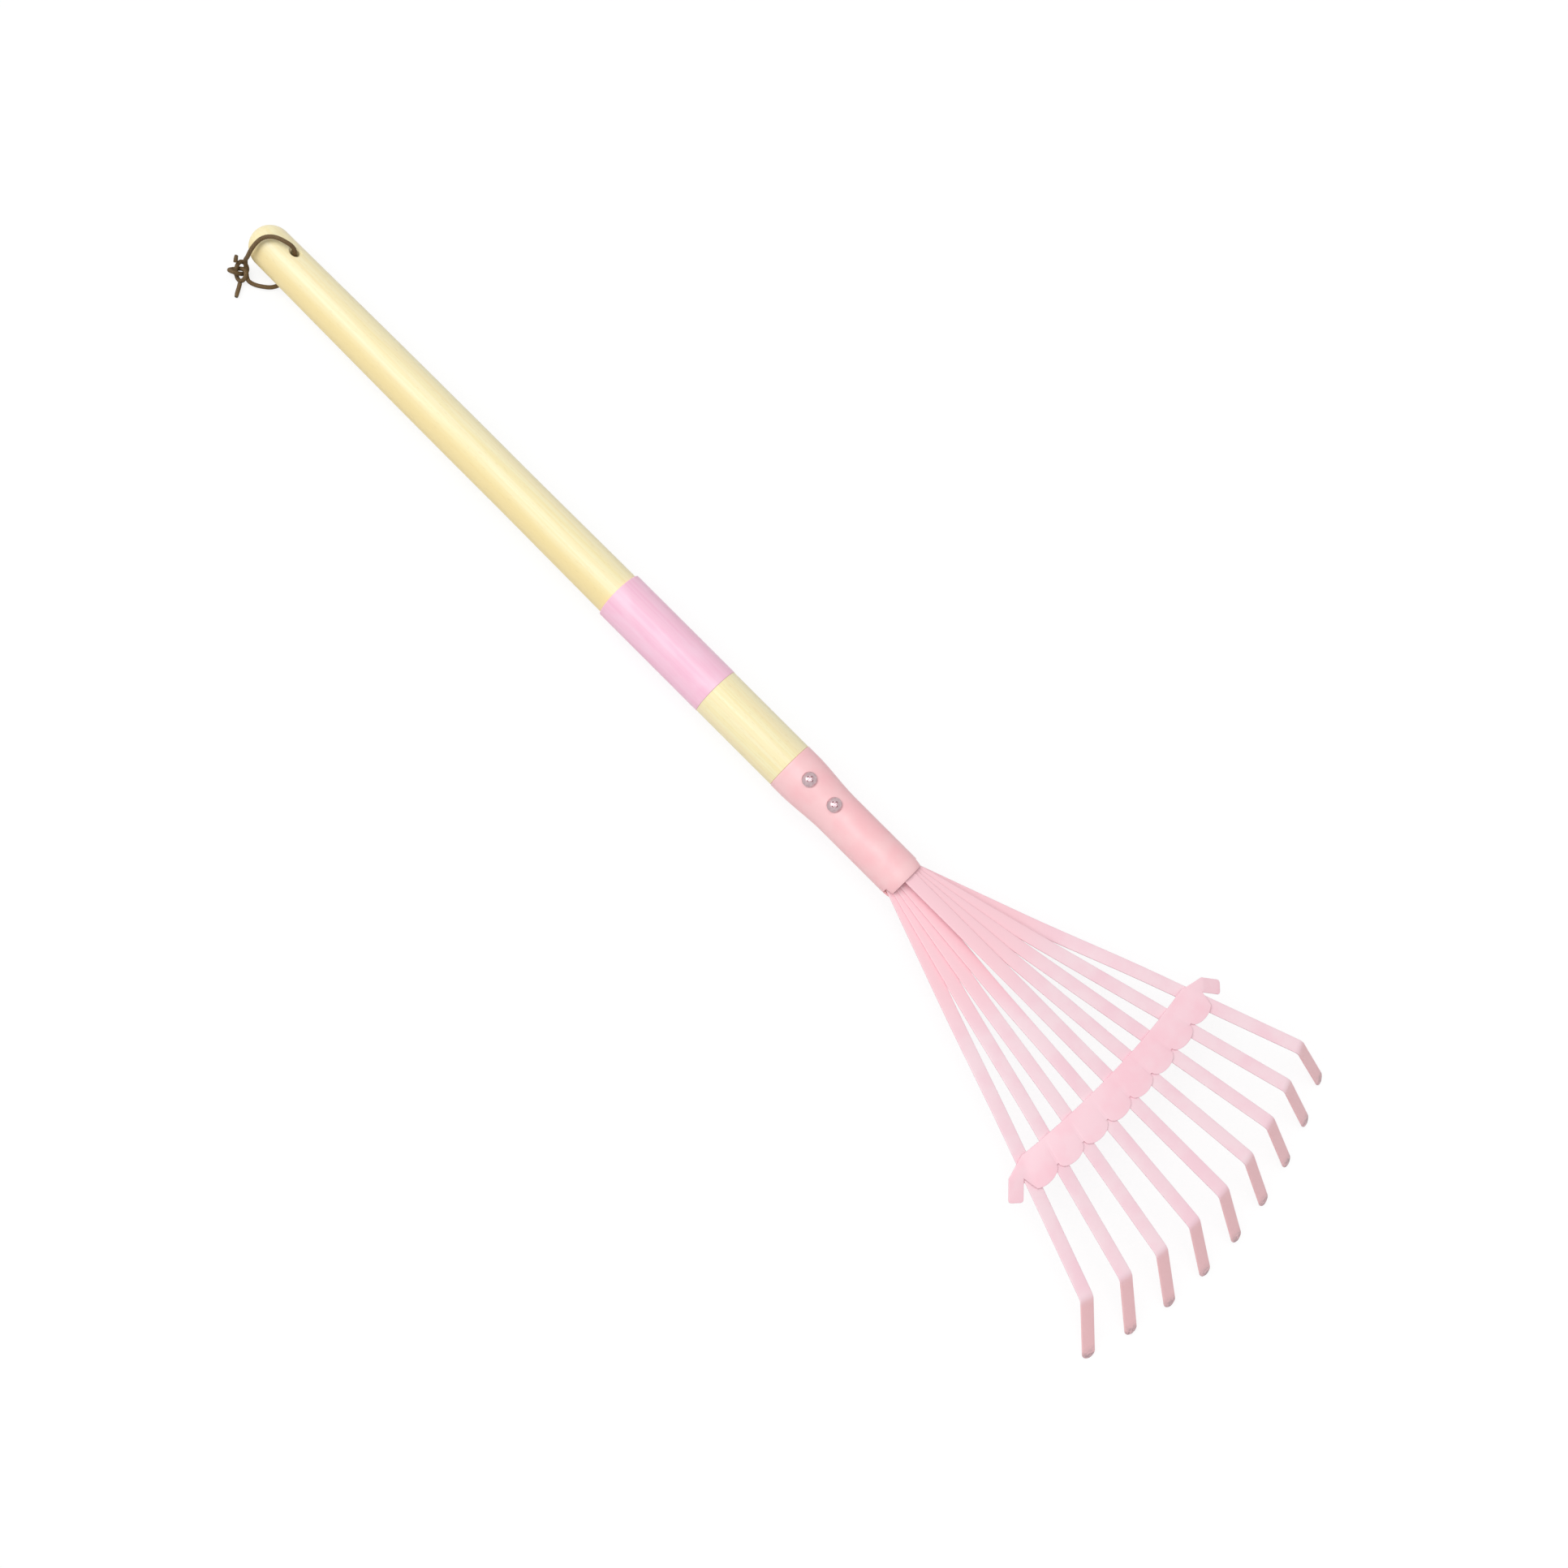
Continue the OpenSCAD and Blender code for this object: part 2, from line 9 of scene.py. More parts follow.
import bmesh
import bpy
import numpy as np
from mathutils import Matrix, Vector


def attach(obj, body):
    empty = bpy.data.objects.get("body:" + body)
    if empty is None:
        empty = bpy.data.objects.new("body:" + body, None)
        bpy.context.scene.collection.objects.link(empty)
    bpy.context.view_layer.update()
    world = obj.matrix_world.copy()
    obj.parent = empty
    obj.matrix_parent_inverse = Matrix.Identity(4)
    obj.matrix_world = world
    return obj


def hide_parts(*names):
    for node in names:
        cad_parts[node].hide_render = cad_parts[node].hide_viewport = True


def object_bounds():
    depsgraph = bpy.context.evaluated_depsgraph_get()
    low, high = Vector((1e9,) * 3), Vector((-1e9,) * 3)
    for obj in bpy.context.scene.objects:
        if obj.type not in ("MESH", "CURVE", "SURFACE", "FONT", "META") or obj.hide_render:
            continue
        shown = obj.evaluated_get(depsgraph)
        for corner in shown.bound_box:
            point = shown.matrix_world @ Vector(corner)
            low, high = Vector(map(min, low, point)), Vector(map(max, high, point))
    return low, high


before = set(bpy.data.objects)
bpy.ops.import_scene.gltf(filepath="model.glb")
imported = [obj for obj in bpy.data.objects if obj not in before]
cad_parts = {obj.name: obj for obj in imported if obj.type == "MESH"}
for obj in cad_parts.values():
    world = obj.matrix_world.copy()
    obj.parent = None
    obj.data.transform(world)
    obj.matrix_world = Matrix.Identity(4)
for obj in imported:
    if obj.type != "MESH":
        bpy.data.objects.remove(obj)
cad_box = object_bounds()
MM = 0.001


# Camera

# The place is in metres, the turns are in degrees, and the lens's values in millimetres.
CAMERA_PLACE = (-0.3492, -0.0568, 0.9353)
CAMERA_ROLL = -20.0
CAMERA_TILT = 3.0
PICTURE_TURN = -45.0
LENS_MM = 47.28
SENSOR_MM = 36.0
CLIP_NEAR, CLIP_FAR = 0.01, 20.0


def set_camera():
    """Looks down on the rake: tilted about X, rolled about Y, and turned by an eighth of a turn
    about its own line of sight, so that the handle runs from corner to corner."""
    lens = bpy.data.cameras.new("camera")
    lens.lens, lens.sensor_width = LENS_MM, SENSOR_MM
    lens.clip_start, lens.clip_end = CLIP_NEAR, CLIP_FAR
    camera = bpy.data.objects.new("camera", lens)
    bpy.context.scene.collection.objects.link(camera)
    turned_by = (Matrix.Rotation(math.radians(CAMERA_ROLL), 4, "Y")
                 @ Matrix.Rotation(math.radians(CAMERA_TILT), 4, "X")
                 @ Matrix.Rotation(math.radians(PICTURE_TURN), 4, "Z"))
    camera.matrix_world = Matrix.Translation(CAMERA_PLACE) @ turned_by
    bpy.context.scene.camera = camera


set_camera()


# Finishes

def linear(hex_colour):
    """sRGB hex to linear: x / 12.92 below 0.04045, else ((x + 0.055) / 1.055) to the 2.4."""
    c = np.array([int(hex_colour[k:k + 2], 16) for k in (0, 2, 4)]) / 255.0
    c = np.where(c <= 0.04045, c / 12.92, ((c + 0.055) / 1.055) ** 2.4)
    return (*c.tolist(), 1.0)


def add(tree, kind, feeds=None, out=0, **settings):
    """Adds one node and returns one of its outputs: settings are its properties, and feeds its
    inputs, each a value or the output of another node."""
    made = tree.nodes.new(kind)
    for key, value in settings.items():
        setattr(made, key, value)
    for key, value in (feeds or {}).items():
        if isinstance(value, bpy.types.NodeSocket):
            tree.links.new(value, made.inputs[key])
        else:
            made.inputs[key].default_value = value
    return made.outputs[out] if len(made.outputs) else None


# Places of the colour sockets among the mixing node's inputs and outputs
MIX_A, MIX_B, MIX_OUT = 6, 7, 2
# Most of a noise pattern lies between these levels.
NOISE_LOW, NOISE_HIGH = 0.3, 0.7


def pattern(tree, scale_mm, detail=3.0, distortion=0.0):
    """Noise whose grain is scale_mm across along X, Y and Z of the object."""
    place = add(tree, "ShaderNodeTexCoord", out="Object")
    scaled = add(tree, "ShaderNodeMapping", {
        "Vector": place, "Scale": [1.0 / (s * MM) for s in scale_mm]})
    return add(tree, "ShaderNodeTexNoise", {
        "Vector": scaled, "Scale": 1.0, "Detail": detail, "Distortion": distortion}, out="Fac")


def layered(tree, ground, layers):
    """Lays colours over a ground colour, one after another. Each layer is a value, the levels
    of it where the colour begins to show and where it is full, the share that it then covers,
    and the colour."""
    tone = linear(ground)
    for value, begins, full, cover, colour in layers:
        share = add(tree, "ShaderNodeMapRange", {
            "Value": value, "From Min": begins, "From Max": full, "To Max": cover})
        tone = add(tree, "ShaderNodeMix", {0: share, MIX_A: tone, MIX_B: linear(colour)},
                   out=MIX_OUT, data_type="RGBA")
    return tone


def new_finish(name, levels=None):
    """A material whose shader has the given levels: returns material, tree and shader."""
    material = bpy.data.materials.new(name)
    material.use_nodes = True
    tree = material.node_tree
    shader = tree.nodes["Principled BSDF"]
    for key, level in (levels or {}).items():
        shader.inputs[key].default_value = level
    return material, tree, shader


def wire(tree, shader, tone, relief=None, sheen=None):
    """Links the shader's colour, its relief (a height from 0 to 1, its depth in millimetres and
    its strength) and its sheen (a pattern, and the roughness where it is low and high)."""
    tree.links.new(tone, shader.inputs["Base Color"])
    if relief:
        height, depth_mm, strength = relief
        normal = add(tree, "ShaderNodeBump", {
            "Height": height, "Distance": depth_mm * MM, "Strength": strength})
        tree.links.new(normal, shader.inputs["Normal"])
    if sheen:
        value, at_low, at_high = sheen
        roughness = add(tree, "ShaderNodeMapRange", {
            "Value": value, "From Min": NOISE_LOW, "From Max": NOISE_HIGH,
            "To Min": at_low, "To Max": at_high})
        tree.links.new(roughness, shader.inputs["Roughness"])


# Places where the painted light and shade across the grip begin and are full: a deeper yellow on
# its left side and a paler tone on its right
PAINTED_DEEP_SIDE_X = (-5.0 * MM, -9.0 * MM)
PAINTED_DEEP_SIDE_Y = (100.0 * MM, 118.0 * MM)
PAINTED_PALE_SIDE_X = (2.0 * MM, 10.0 * MM)


def lacquered_hardwood():
    """Turned ramin or beech under thin clear lacquer: pale straw, straight fine grain along Y,
    short darker pores, and a soft gloss with the grain just felt under it. The pores are drawn
    a little wider than they are, so that they show. Light and shade are painted across the
    grip: a deeper yellow along its left side, and a little paler to the right."""
    material, tree, shader = new_finish("lacquered_pale_hardwood", {
        "IOR": 1.5, "Coat Weight": 0.18, "Coat Roughness": 0.22})
    lines = pattern(tree, (1.1, 60.0, 1.1), detail=4.0)
    broad = pattern(tree, (5.0, 140.0, 5.0), detail=2.0, distortion=0.4)
    pores = pattern(tree, (0.35, 3.2, 0.35), detail=1.0)
    place = add(tree, "ShaderNodeTexCoord", out="Object")
    x = add(tree, "ShaderNodeSeparateXYZ", {"Vector": place}, out="X")
    y = add(tree, "ShaderNodeSeparateXYZ", {"Vector": place}, out="Y")
    on_left = add(tree, "ShaderNodeMapRange", {
        "Value": x, "From Min": PAINTED_DEEP_SIDE_X[0], "From Max": PAINTED_DEEP_SIDE_X[1]})
    on_grip = add(tree, "ShaderNodeMapRange", {
        "Value": y, "From Min": PAINTED_DEEP_SIDE_Y[0], "From Max": PAINTED_DEEP_SIDE_Y[1]})
    # Painted light and shade: the grip's left side is painted a deeper yellow and its right side
    # paler.
    painted_deep_side = add(tree, "ShaderNodeMath", {0: on_left, 1: on_grip}, operation="MULTIPLY")
    straw = layered(tree, "FFF6CA", [
        (lines, 0.35, 0.68, 1.0, "FCEDB4"), (broad, 0.4, 0.7, 0.55, "FDEABE"),
        (painted_deep_side, 0.0, 1.0, 0.85, "FBE5A6"), (x, *PAINTED_PALE_SIDE_X, 0.3, "FFF6DC"),
        (pores, 0.62, 0.74, 0.35, "E6CF95")])
    wire(tree, shader, straw, relief=(pores, 0.02, 0.5), sheen=(lines, 0.4, 0.5))
    return material


def raw_hardwood():
    """The same wood left raw inside the socket: duller, with no lacquer."""
    material, tree, shader = new_finish("raw_hardwood", {"Roughness": 0.75})
    lines = pattern(tree, (0.9, 30.0, 0.9), detail=4.0)
    straw = layered(tree, "EBDDAE", [(lines, 0.35, 0.7, 1.0, "D9C48C")])
    wire(tree, shader, straw, relief=(lines, 0.05, 0.6))
    return material


def shrunk_vinyl():
    """Soft pink vinyl sleeve shrunk over the wood: satin, with faint lengthwise draw lines where
    it has been pulled tight and a slight waviness."""
    material, tree, shader = new_finish("pink_shrunk_vinyl", {"IOR": 1.53})
    drawn = pattern(tree, (1.6, 90.0, 1.6), detail=3.0)
    cloudy = pattern(tree, (7.0, 16.0, 7.0), detail=2.0)
    pink = layered(tree, "FFCCE1", [
        (drawn, 0.38, 0.66, 1.0, "FCC2DB"), (cloudy, 0.45, 0.7, 0.6, "FFD6E9")])
    wire(tree, shader, pink, relief=(drawn, 0.05, 0.5), sheen=(drawn, 0.3, 0.42))
    return material


def enamel(name, pale, fuller, with_tine_marks=False):
    """Baked enamel over sheet steel: smooth satin gloss with a faint orange peel, and the
    colour a little fuller where the coat is thicker. On the tines the mark 'pooled' says where
    the coat has pooled between the crowded roots, a second mark where the teeth's painted shade
    begins, a deeper salmon for teeth turned from the light, and 'wear' where the tip is rubbed
    grey."""
    material, tree, shader = new_finish(name, {"IOR": 1.5})
    peel = pattern(tree, (0.9, 0.9, 0.9), detail=2.0)
    coat = pattern(tree, (14.0, 14.0, 14.0), detail=3.0)
    layers = [(coat, 0.4, 0.65, 1.0, fuller)]
    if with_tine_marks:
        pooled, teeth_shade, wear = (add(tree, "ShaderNodeAttribute", out="Fac", attribute_name=mark)
                             for mark in ("pooled", "teeth_shade", "wear"))
        patches = add(tree, "ShaderNodeMapRange", {
            "Value": pattern(tree, (1.5, 1.5, 1.5)), "From Min": 0.3, "From Max": 0.6})
        rubbed = add(tree, "ShaderNodeMath", {0: wear, 1: patches}, operation="MULTIPLY")
        # The deeper salmon on the teeth is painted shade, for teeth turned away from the light.
        layers += [(pooled, 0.0, 1.0, 1.0, "FDD0D8"), (teeth_shade, 0.0, 1.0, 1.0, "FFCACE"),
                   (rubbed, 0.0, 1.0, 1.0, "B99A9F")]
    wire(tree, shader, layered(tree, pale, layers), relief=(peel, 0.02, 0.4),
         sheen=(coat, 0.3, 0.4))
    return material


def zinc_plate():
    """Bright zinc plate on a pressed screw: grey metal, a little cloudy, dull in places. The
    grey is faintly pink, as the picture shows it beside the enamel: a painted reflection of the
    pink enamel around the screws."""
    material, tree, shader = new_finish("zinc_plated_steel", {"Metallic": 1.0})
    cloudy = pattern(tree, (1.2, 1.2, 1.2), detail=4.0)
    # Both greys carry a painted reflection of the pink enamel.
    grey = layered(tree, "DEC6CA", [(cloudy, 0.35, 0.65, 1.0, "CAB0B5")])
    wire(tree, shader, grey, sheen=(cloudy, 0.28, 0.42))
    return material


def braided_lace():
    """Round braided cotton lace, dyed brown and waxed: matt, with painted shade in the gaps
    between the strands and their crowns paler, which the mark 'crown' gives from the mesh's own
    relief. The fuzz of its fibres is drawn about ten times coarser than it is, so that it shows."""
    material, tree, shader = new_finish("brown_braided_lace", {"Roughness": 0.7})
    crown = add(tree, "ShaderNodeAttribute", out="Fac", attribute_name="crown")
    fibre = pattern(tree, (0.25, 0.25, 0.25), detail=3.0)
    # The dark ground is painted shade in the gaps of the braid, and the crowns are paler.
    brown = layered(tree, "3A2A17", [
        (crown, 0.1, 0.9, 1.0, "7A5F3A"), (fibre, 0.5, 0.75, 0.5, "A08657")])
    wire(tree, shader, brown, relief=(fibre, 0.06, 0.6))
    return material


WOOD = lacquered_hardwood()
RAW_WOOD = raw_hardwood()
VINYL = shrunk_vinyl()
SOCKET_ENAMEL = enamel("salmon_pink_enamel", "FFCFD2", "FFC5CA")
TINE_ENAMEL = enamel("pale_pink_enamel", "F9DCE3", "F8D2DC", with_tine_marks=True)
BAR_ENAMEL = enamel("rose_pink_enamel", "FED7E0", "FECED9")
ZINC = zinc_plate()
LACE = braided_lace()


# Surfaces

# Points closer together than this are one.
WELD = 1e-7
# Edges that turn by more than these degrees stay sharp.
CREASE, LACE_CREASE = 35.0, 60.0
LATHE_SIDES, SMALL_SIDES, QUARTER_STEPS = 128, 64, 6


def ease(x):
    """A smooth step: 3 c c - 2 c c c, with c held between 0 and 1."""
    c = np.clip(x, 0.0, 1.0)
    return c * c * (3.0 - 2.0 * c)


def mix(a, b, share):
    """a where share is 0 and b where it is 1."""
    return a + (b - a) * share


def skin(rows, ring, closed_rows=False):
    """Four-cornered faces between each row of points and the next, round a closed ring."""
    i = np.arange(rows if closed_rows else rows - 1)[:, None]
    j = np.arange(ring)[None, :]
    near, far = i * ring, (i + 1) % rows * ring
    after = (j + 1) % ring
    return np.stack([near + j, near + after, far + after, far + j], -1).reshape(-1, 4).tolist()


def end_caps(rows, ring):
    """One face over each end of an open tube."""
    return [list(range(ring))[::-1], list(range((rows - 1) * ring, rows * ring))]


def shell(name, points, faces, marks=None, crease=CREASE):
    """A closed mesh: doubles are merged, faces turned outwards, and it is smooth but for edges
    that turn by more than crease degrees. marks are values carried by its points."""
    mesh = bpy.data.meshes.new(name)
    mesh.from_pydata(points.reshape(-1, 3).tolist(), [], faces)
    for mark, values in (marks or {}).items():
        mesh.attributes.new(mark, "FLOAT", "POINT").data.foreach_set(
            "value", np.asarray(values, np.float32).ravel())
    work = bmesh.new()
    work.from_mesh(mesh)
    bmesh.ops.remove_doubles(work, verts=work.verts, dist=WELD)
    bmesh.ops.recalc_face_normals(work, faces=work.faces)
    work.to_mesh(mesh)
    work.free()
    mesh.set_sharp_from_angle(angle=math.radians(crease))
    piece = bpy.data.objects.new(name, mesh)
    bpy.context.scene.collection.objects.link(piece)
    return piece


def cut_out(piece, cutters):
    """Takes closed cutters out of a closed piece, and removes them."""
    for cutter in cutters:
        step = piece.modifiers.new("cut", "BOOLEAN")
        step.operation, step.solver, step.object = "DIFFERENCE", "EXACT", cutter
    bpy.context.view_layer.update()
    ready = piece.evaluated_get(bpy.context.evaluated_depsgraph_get())
    piece.data = bpy.data.meshes.new_from_object(ready)
    piece.modifiers.clear()
    for cutter in cutters:
        bpy.data.objects.remove(cutter)
    piece.data.set_sharp_from_angle(angle=math.radians(CREASE))


def hand_over(piece, finish, slot, *nodes):
    """Gives a piece its finish, its body and the nodes that it stands for; its slot is not used.
    """
    piece.data.materials.clear()
    piece.data.materials.append(finish)
    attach(piece, "root")
    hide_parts(*nodes)


def lathe(profile, sides=LATHE_SIDES):
    """Carries a profile of (radius, height) round the Y axis:
    x = radius sin a, y = height, z = radius cos a."""
    radius, height = np.asarray(profile, float).T
    a = np.linspace(0.0, 2.0 * np.pi, sides, endpoint=False)
    return np.stack([radius[:, None] * np.sin(a), np.repeat(height[:, None], sides, 1),
                     radius[:, None] * np.cos(a)], -1)


def stood_up(points, turn, y):
    """Stands a shape made about Y on the handle's axis at y, so that its Y points outwards,
    turned about the axis: (x, y, z) goes to x e + y out + z down, where out is
    (sin turn, 0, cos turn), e is (cos turn, 0, -sin turn) and down is (0, -1, 0)."""
    axes = np.array([[math.cos(turn), 0.0, -math.sin(turn)],
                     [math.sin(turn), 0.0, math.cos(turn)], [0.0, -1.0, 0.0]])
    return points @ axes + np.array([0.0, y, 0.0])


def across(reference, along):
    """The part of a reference direction that is square to each of the given directions."""
    side = reference - (along @ reference)[:, None] * along
    return side / np.linalg.norm(side, axis=1, keepdims=True)


# Hanging lace

# The lace's route in millimetres: out of the hole's upper mouth, over the rounded end, down
# into the knot, and back under the handle to the hole's lower mouth.
UPPER_ROUTE = [(2.8, 349.5, 7.9), (3.0, 349.5, 8.5), (3.6, 350.1, 10.6), (3.3, 352.0, 13.0),
               (2.3, 354.4, 14.1), (-0.1, 360.1, 14.0), (-4.5, 363.7, 13.0),
               (-8.6, 364.5, 10.8), (-11.0, 364.4, 9.2), (-13.2, 365.1, 3.5),
               (-13.1, 366.3, -0.1), (-12.6, 367.9, -7.9)]
IN_KNOT_ROUTE = [(-13.4, 366.9, -9.6), (-15.4, 364.2, -9.9)]
LOWER_ROUTE = [(-2.8, 349.5, -7.9), (-3.0, 349.5, -8.5), (-4.1, 349.7, -10.3),
               (-7.9, 351.0, -12.2), (-10.5, 352.3, -12.3), (-13.1, 354.6, -12.0),
               (-16.0, 358.9, -11.9), (-16.9, 361.4, -10.7)]
LONG_TAIL_ROUTE = [(-20.7, 363.2, -11.7), (-22.6, 361.9, -12.1), (-24.8, 360.5, -12.3),
                   (-27.0, 358.9, -12.3)]
SHORT_TAIL_ROUTE = [(-16.4, 370.8, -6.4), (-15.7, 371.4, -5.6), (-15.0, 371.9, -4.8),
                    (-14.3, 372.3, -4.0)]
# The knot: its centre and unit in millimetres, how far its strands rise over one another in
# units, and its turn about Z
KNOT_CENTRE = (-16.9, 367.6, -10.1)
KNOT_UNIT = 1.64
KNOT_RISE = 1.34
KNOT_TURN = math.radians(-17.0)
LACE_D = 2.2 * MM
# The loop lies roughly in one plane, and this is its normal.
LOOP_NORMAL = np.array([-0.77, -0.58, 0.27])
# The braid: crowns round the lace, the length in which they repeat, and the depth between them
# as a share of the radius
BRAID_LOBES = 6
BRAID_PITCH = 1.3 * MM
BRAID_DEPTH_SHARE = 0.09
# A cut end is thinner by this share.
TAIL_PINCH_SHARE = 0.25
# Distance between rings, points round a ring, rings of the knot, and points told of the route
BRAID_STEP = 0.2 * MM
TUBE_SIDES = 36
KNOT_STEPS = 240


def spline(points, step):
    """A natural cubic spline through the points, by length of chord, sampled about a step
    apart: the second slopes m solve h0 m0 + 2 (h0 + h1) m1 + h1 m2 = 6 (rise1 - rise0)."""
    p = np.asarray(points, float)
    h = np.linalg.norm(np.diff(p, axis=0), axis=1)
    n = len(p)
    lhs, rhs = np.eye(n), np.zeros((n, 3))
    k = np.arange(1, n - 1)
    lhs[k, k - 1], lhs[k, k], lhs[k, k + 1] = h[k - 1], 2 * (h[k - 1] + h[k]), h[k]
    rise = np.diff(p, axis=0) / h[:, None]
    rhs[k] = 6 * (rise[k] - rise[k - 1])
    m = np.linalg.solve(lhs, rhs)
    knots = np.concatenate([[0.0], np.cumsum(h)])
    s = np.linspace(0.0, knots[-1], max(2, round(knots[-1] / step) + 1))
    j = np.clip(np.searchsorted(knots, s, side="right") - 1, 0, n - 2)
    a, b, hj = (knots[j + 1] - s)[:, None], (s - knots[j])[:, None], h[j][:, None]
    return ((m[j] * a ** 3 + m[j + 1] * b ** 3) / (6 * hj)
            + (p[j] / hj - m[j] * hj / 6) * a + (p[j + 1] / hj - m[j + 1] * hj / 6) * b)


def lace_tube(name, line, reference, closed=False, pinch=0.0):
    """A braided round lace along a line. At angle a and distance s its radius is that of the
    lace less a share of 1 - crown, where crown is the root of |cos(lobes a) + cos(2 pi s /
    pitch)| / 2, so that strand crowns lie in a diamond pattern. pinch narrows the far end."""
    if closed:
        along = np.roll(line, -1, 0) - np.roll(line, 1, 0)
    else:
        along = np.gradient(line, axis=0)
    along /= np.linalg.norm(along, axis=1, keepdims=True)
    side = across(reference, along)
    other = np.cross(side, along)
    steps = np.linalg.norm(np.diff(line, axis=0), axis=1)
    s = np.concatenate([[0.0], np.cumsum(steps)])
    whole = s[-1] + (np.linalg.norm(line[0] - line[-1]) if closed else 0.0)
    turns = round(whole / BRAID_PITCH)
    a = np.linspace(0.0, 2.0 * np.pi, TUBE_SIDES, endpoint=False)
    weave = np.cos(BRAID_LOBES * a)[None, :] + np.cos(2.0 * np.pi * turns * s / whole)[:, None]
    crown = np.sqrt(np.abs(weave) / 2.0)
    radius = LACE_D / 2 * (1.0 - BRAID_DEPTH_SHARE * (1.0 - crown))
    if pinch:
        left = np.clip((s[-1] - s) / LACE_D, 0.0, 1.0)
        radius = radius * mix(1.0 - pinch, 1.0, np.sqrt(left))[:, None]
    points = (line[:, None] + radius[..., None]
              * (np.cos(a)[None, :, None] * side[:, None]
                 + np.sin(a)[None, :, None] * other[:, None]))
    faces = skin(len(line), TUBE_SIDES, closed)
    if not closed:
        faces = faces + end_caps(len(line), TUBE_SIDES)
    return shell(name, points, faces, {"crown": crown}, LACE_CREASE)


def knot_line():
    """The closed line of an overhand knot lying flat: centre plus unit times (x, y, -rise
    sin 3a), where x = sin a + 2 sin 2a and y = cos a - 2 cos 2a are turned about Z."""
    a = np.linspace(0.0, 2.0 * np.pi, KNOT_STEPS, endpoint=False)
    x, y = np.sin(a) + 2 * np.sin(2 * a), np.cos(a) - 2 * np.cos(2 * a)
    loops = np.stack([x * math.cos(KNOT_TURN) - y * math.sin(KNOT_TURN),
                      x * math.sin(KNOT_TURN) + y * math.cos(KNOT_TURN),
                      -KNOT_RISE * np.sin(3 * a)], -1)
    return (np.array(KNOT_CENTRE) + KNOT_UNIT * loops) * MM


def make_lace():
    """The lace: its loop from mouth to mouth, the knot, and the two ends past the knot."""
    route = np.array(UPPER_ROUTE + IN_KNOT_ROUTE + LOWER_ROUTE[::-1]) * MM
    line = spline(route, BRAID_STEP)
    loop = lace_tube("hanging_lace", line, LOOP_NORMAL / np.linalg.norm(LOOP_NORMAL))
    hand_over(loop, LACE, "cord", "cord_upper_run", "cord_lower_run")
    upright = np.array([0.0, 0.0, 1.0])
    knot = lace_tube("lace_knot", knot_line(), upright, closed=True)
    hand_over(knot, LACE, "cord", "cord_knot")
    sideways = np.array([1.0, 0.0, 0.0])
    long_tail = lace_tube("lace_long_tail", spline(np.array(LONG_TAIL_ROUTE) * MM, BRAID_STEP),
                          upright, pinch=TAIL_PINCH_SHARE)
    hand_over(long_tail, LACE, "cord", "cord_long_tail")
    short_tail = lace_tube("lace_short_tail",
                           spline(np.array(SHORT_TAIL_ROUTE) * MM, BRAID_STEP),
                           sideways, pinch=TAIL_PINCH_SHARE)
    hand_over(short_tail, LACE, "cord", "cord_short_tail")


make_lace()


# Handle, colour band and socket

# Touching faces are this far apart, and the wood and the roots are clear of the sheet by more.
FACE_GAP, SOCKET_CLEAR = 0.05 * MM, 0.1 * MM
# The handle's length outside the socket, its straight seat and the radius of its rounded end
WOOD_LEN = 374.0 * MM
SEAT_R, SEAT_LEN, SEAT_EDGE = 13.0 * MM, 51.0 * MM, 0.25 * MM
GRIP_END_R = 10.95 * MM
# The grip's radius at evenly spaced places from the band to the rounded end: 0 stands for the
# end's radius and 1 for the seat's under the band.
GRIP_SHARES = (1.0, 0.85, 0.69, 0.7, 0.63, 0.47, 0.23, 0.0)
# The cross hole: its radius, distance from the rounded end, chamfer, and turn from upright
HOLE_R, HOLE_INSET, HOLE_CHAMFER = 2.3 * MM, 24.5 * MM, 1.2 * MM
HOLE_TURN = math.radians(19.5)
# The sleeve stands a little proud of the straight wood, because its seat is turned down.
BAND_LEN, BAND_WALL, BAND_PROUD, BAND_EDGE = 67.0 * MM, 1.0 * MM, 0.15 * MM, 0.3 * MM
# The socket: its outside radii at the rim, the neck and the mouth, its sheet, and the lengths of
# the whole, the straight rim, the swage and the rolled-in mouth
RIM_R, NECK_R, MOUTH_R, SHEET = 13.15 * MM, 11.55 * MM, 10.75 * MM, 1.0 * MM
SOCKET_LEN, RIM_LEN, SWAGE_LEN, MOUTH_LEN = 79.2 * MM, 6.0 * MM, 28.0 * MM, 6.0 * MM
SOCKET_EDGE = 0.3 * MM
# The middle of a rounded corner stands in from the sharp one by this share of its radius.
CORNER_SHARE = 0.3
# The mouth's roll is followed up to this angle, and its lip is flat between these shares of the
# sheet.
MOUTH_ROLL, LIP_SHARES = 1.45, (0.25, 0.75)
# Half a tine's width, and its thickness
TINE_HALF, TINE_T = 3.5 * MM, 1.1 * MM
# The tines' lines cross this far inside the mouth, and the tenon ends this far behind the roots.
CROSS_IN, TENON_CLEAR = 20.3 * MM, 1.0 * MM
# Rings along the stretches of the handle, the sleeve and the socket
TENON_STEPS, GRIP_STEPS, DOME_STEPS, BAND_STEPS = 60, 90, 24, 40
RIM_STEPS, SWAGE_STEPS, NECK_STEPS, MOUTH_STEPS = 6, 40, 12, 14

BAND_FROM, BAND_TO = SEAT_LEN + FACE_GAP, SEAT_LEN + BAND_LEN
BAND_OUT_R = SEAT_R + BAND_PROUD
BAND_BORE_R = BAND_OUT_R - BAND_WALL
BAND_SEAT_R = BAND_BORE_R - FACE_GAP
HOLE_Y = WOOD_LEN - HOLE_INSET
RIM_Y, MOUTH_Y = -FACE_GAP, -SOCKET_LEN
CROSS_Y = MOUTH_Y + CROSS_IN
TENON_END_Y = CROSS_Y + TINE_HALF + TENON_CLEAR


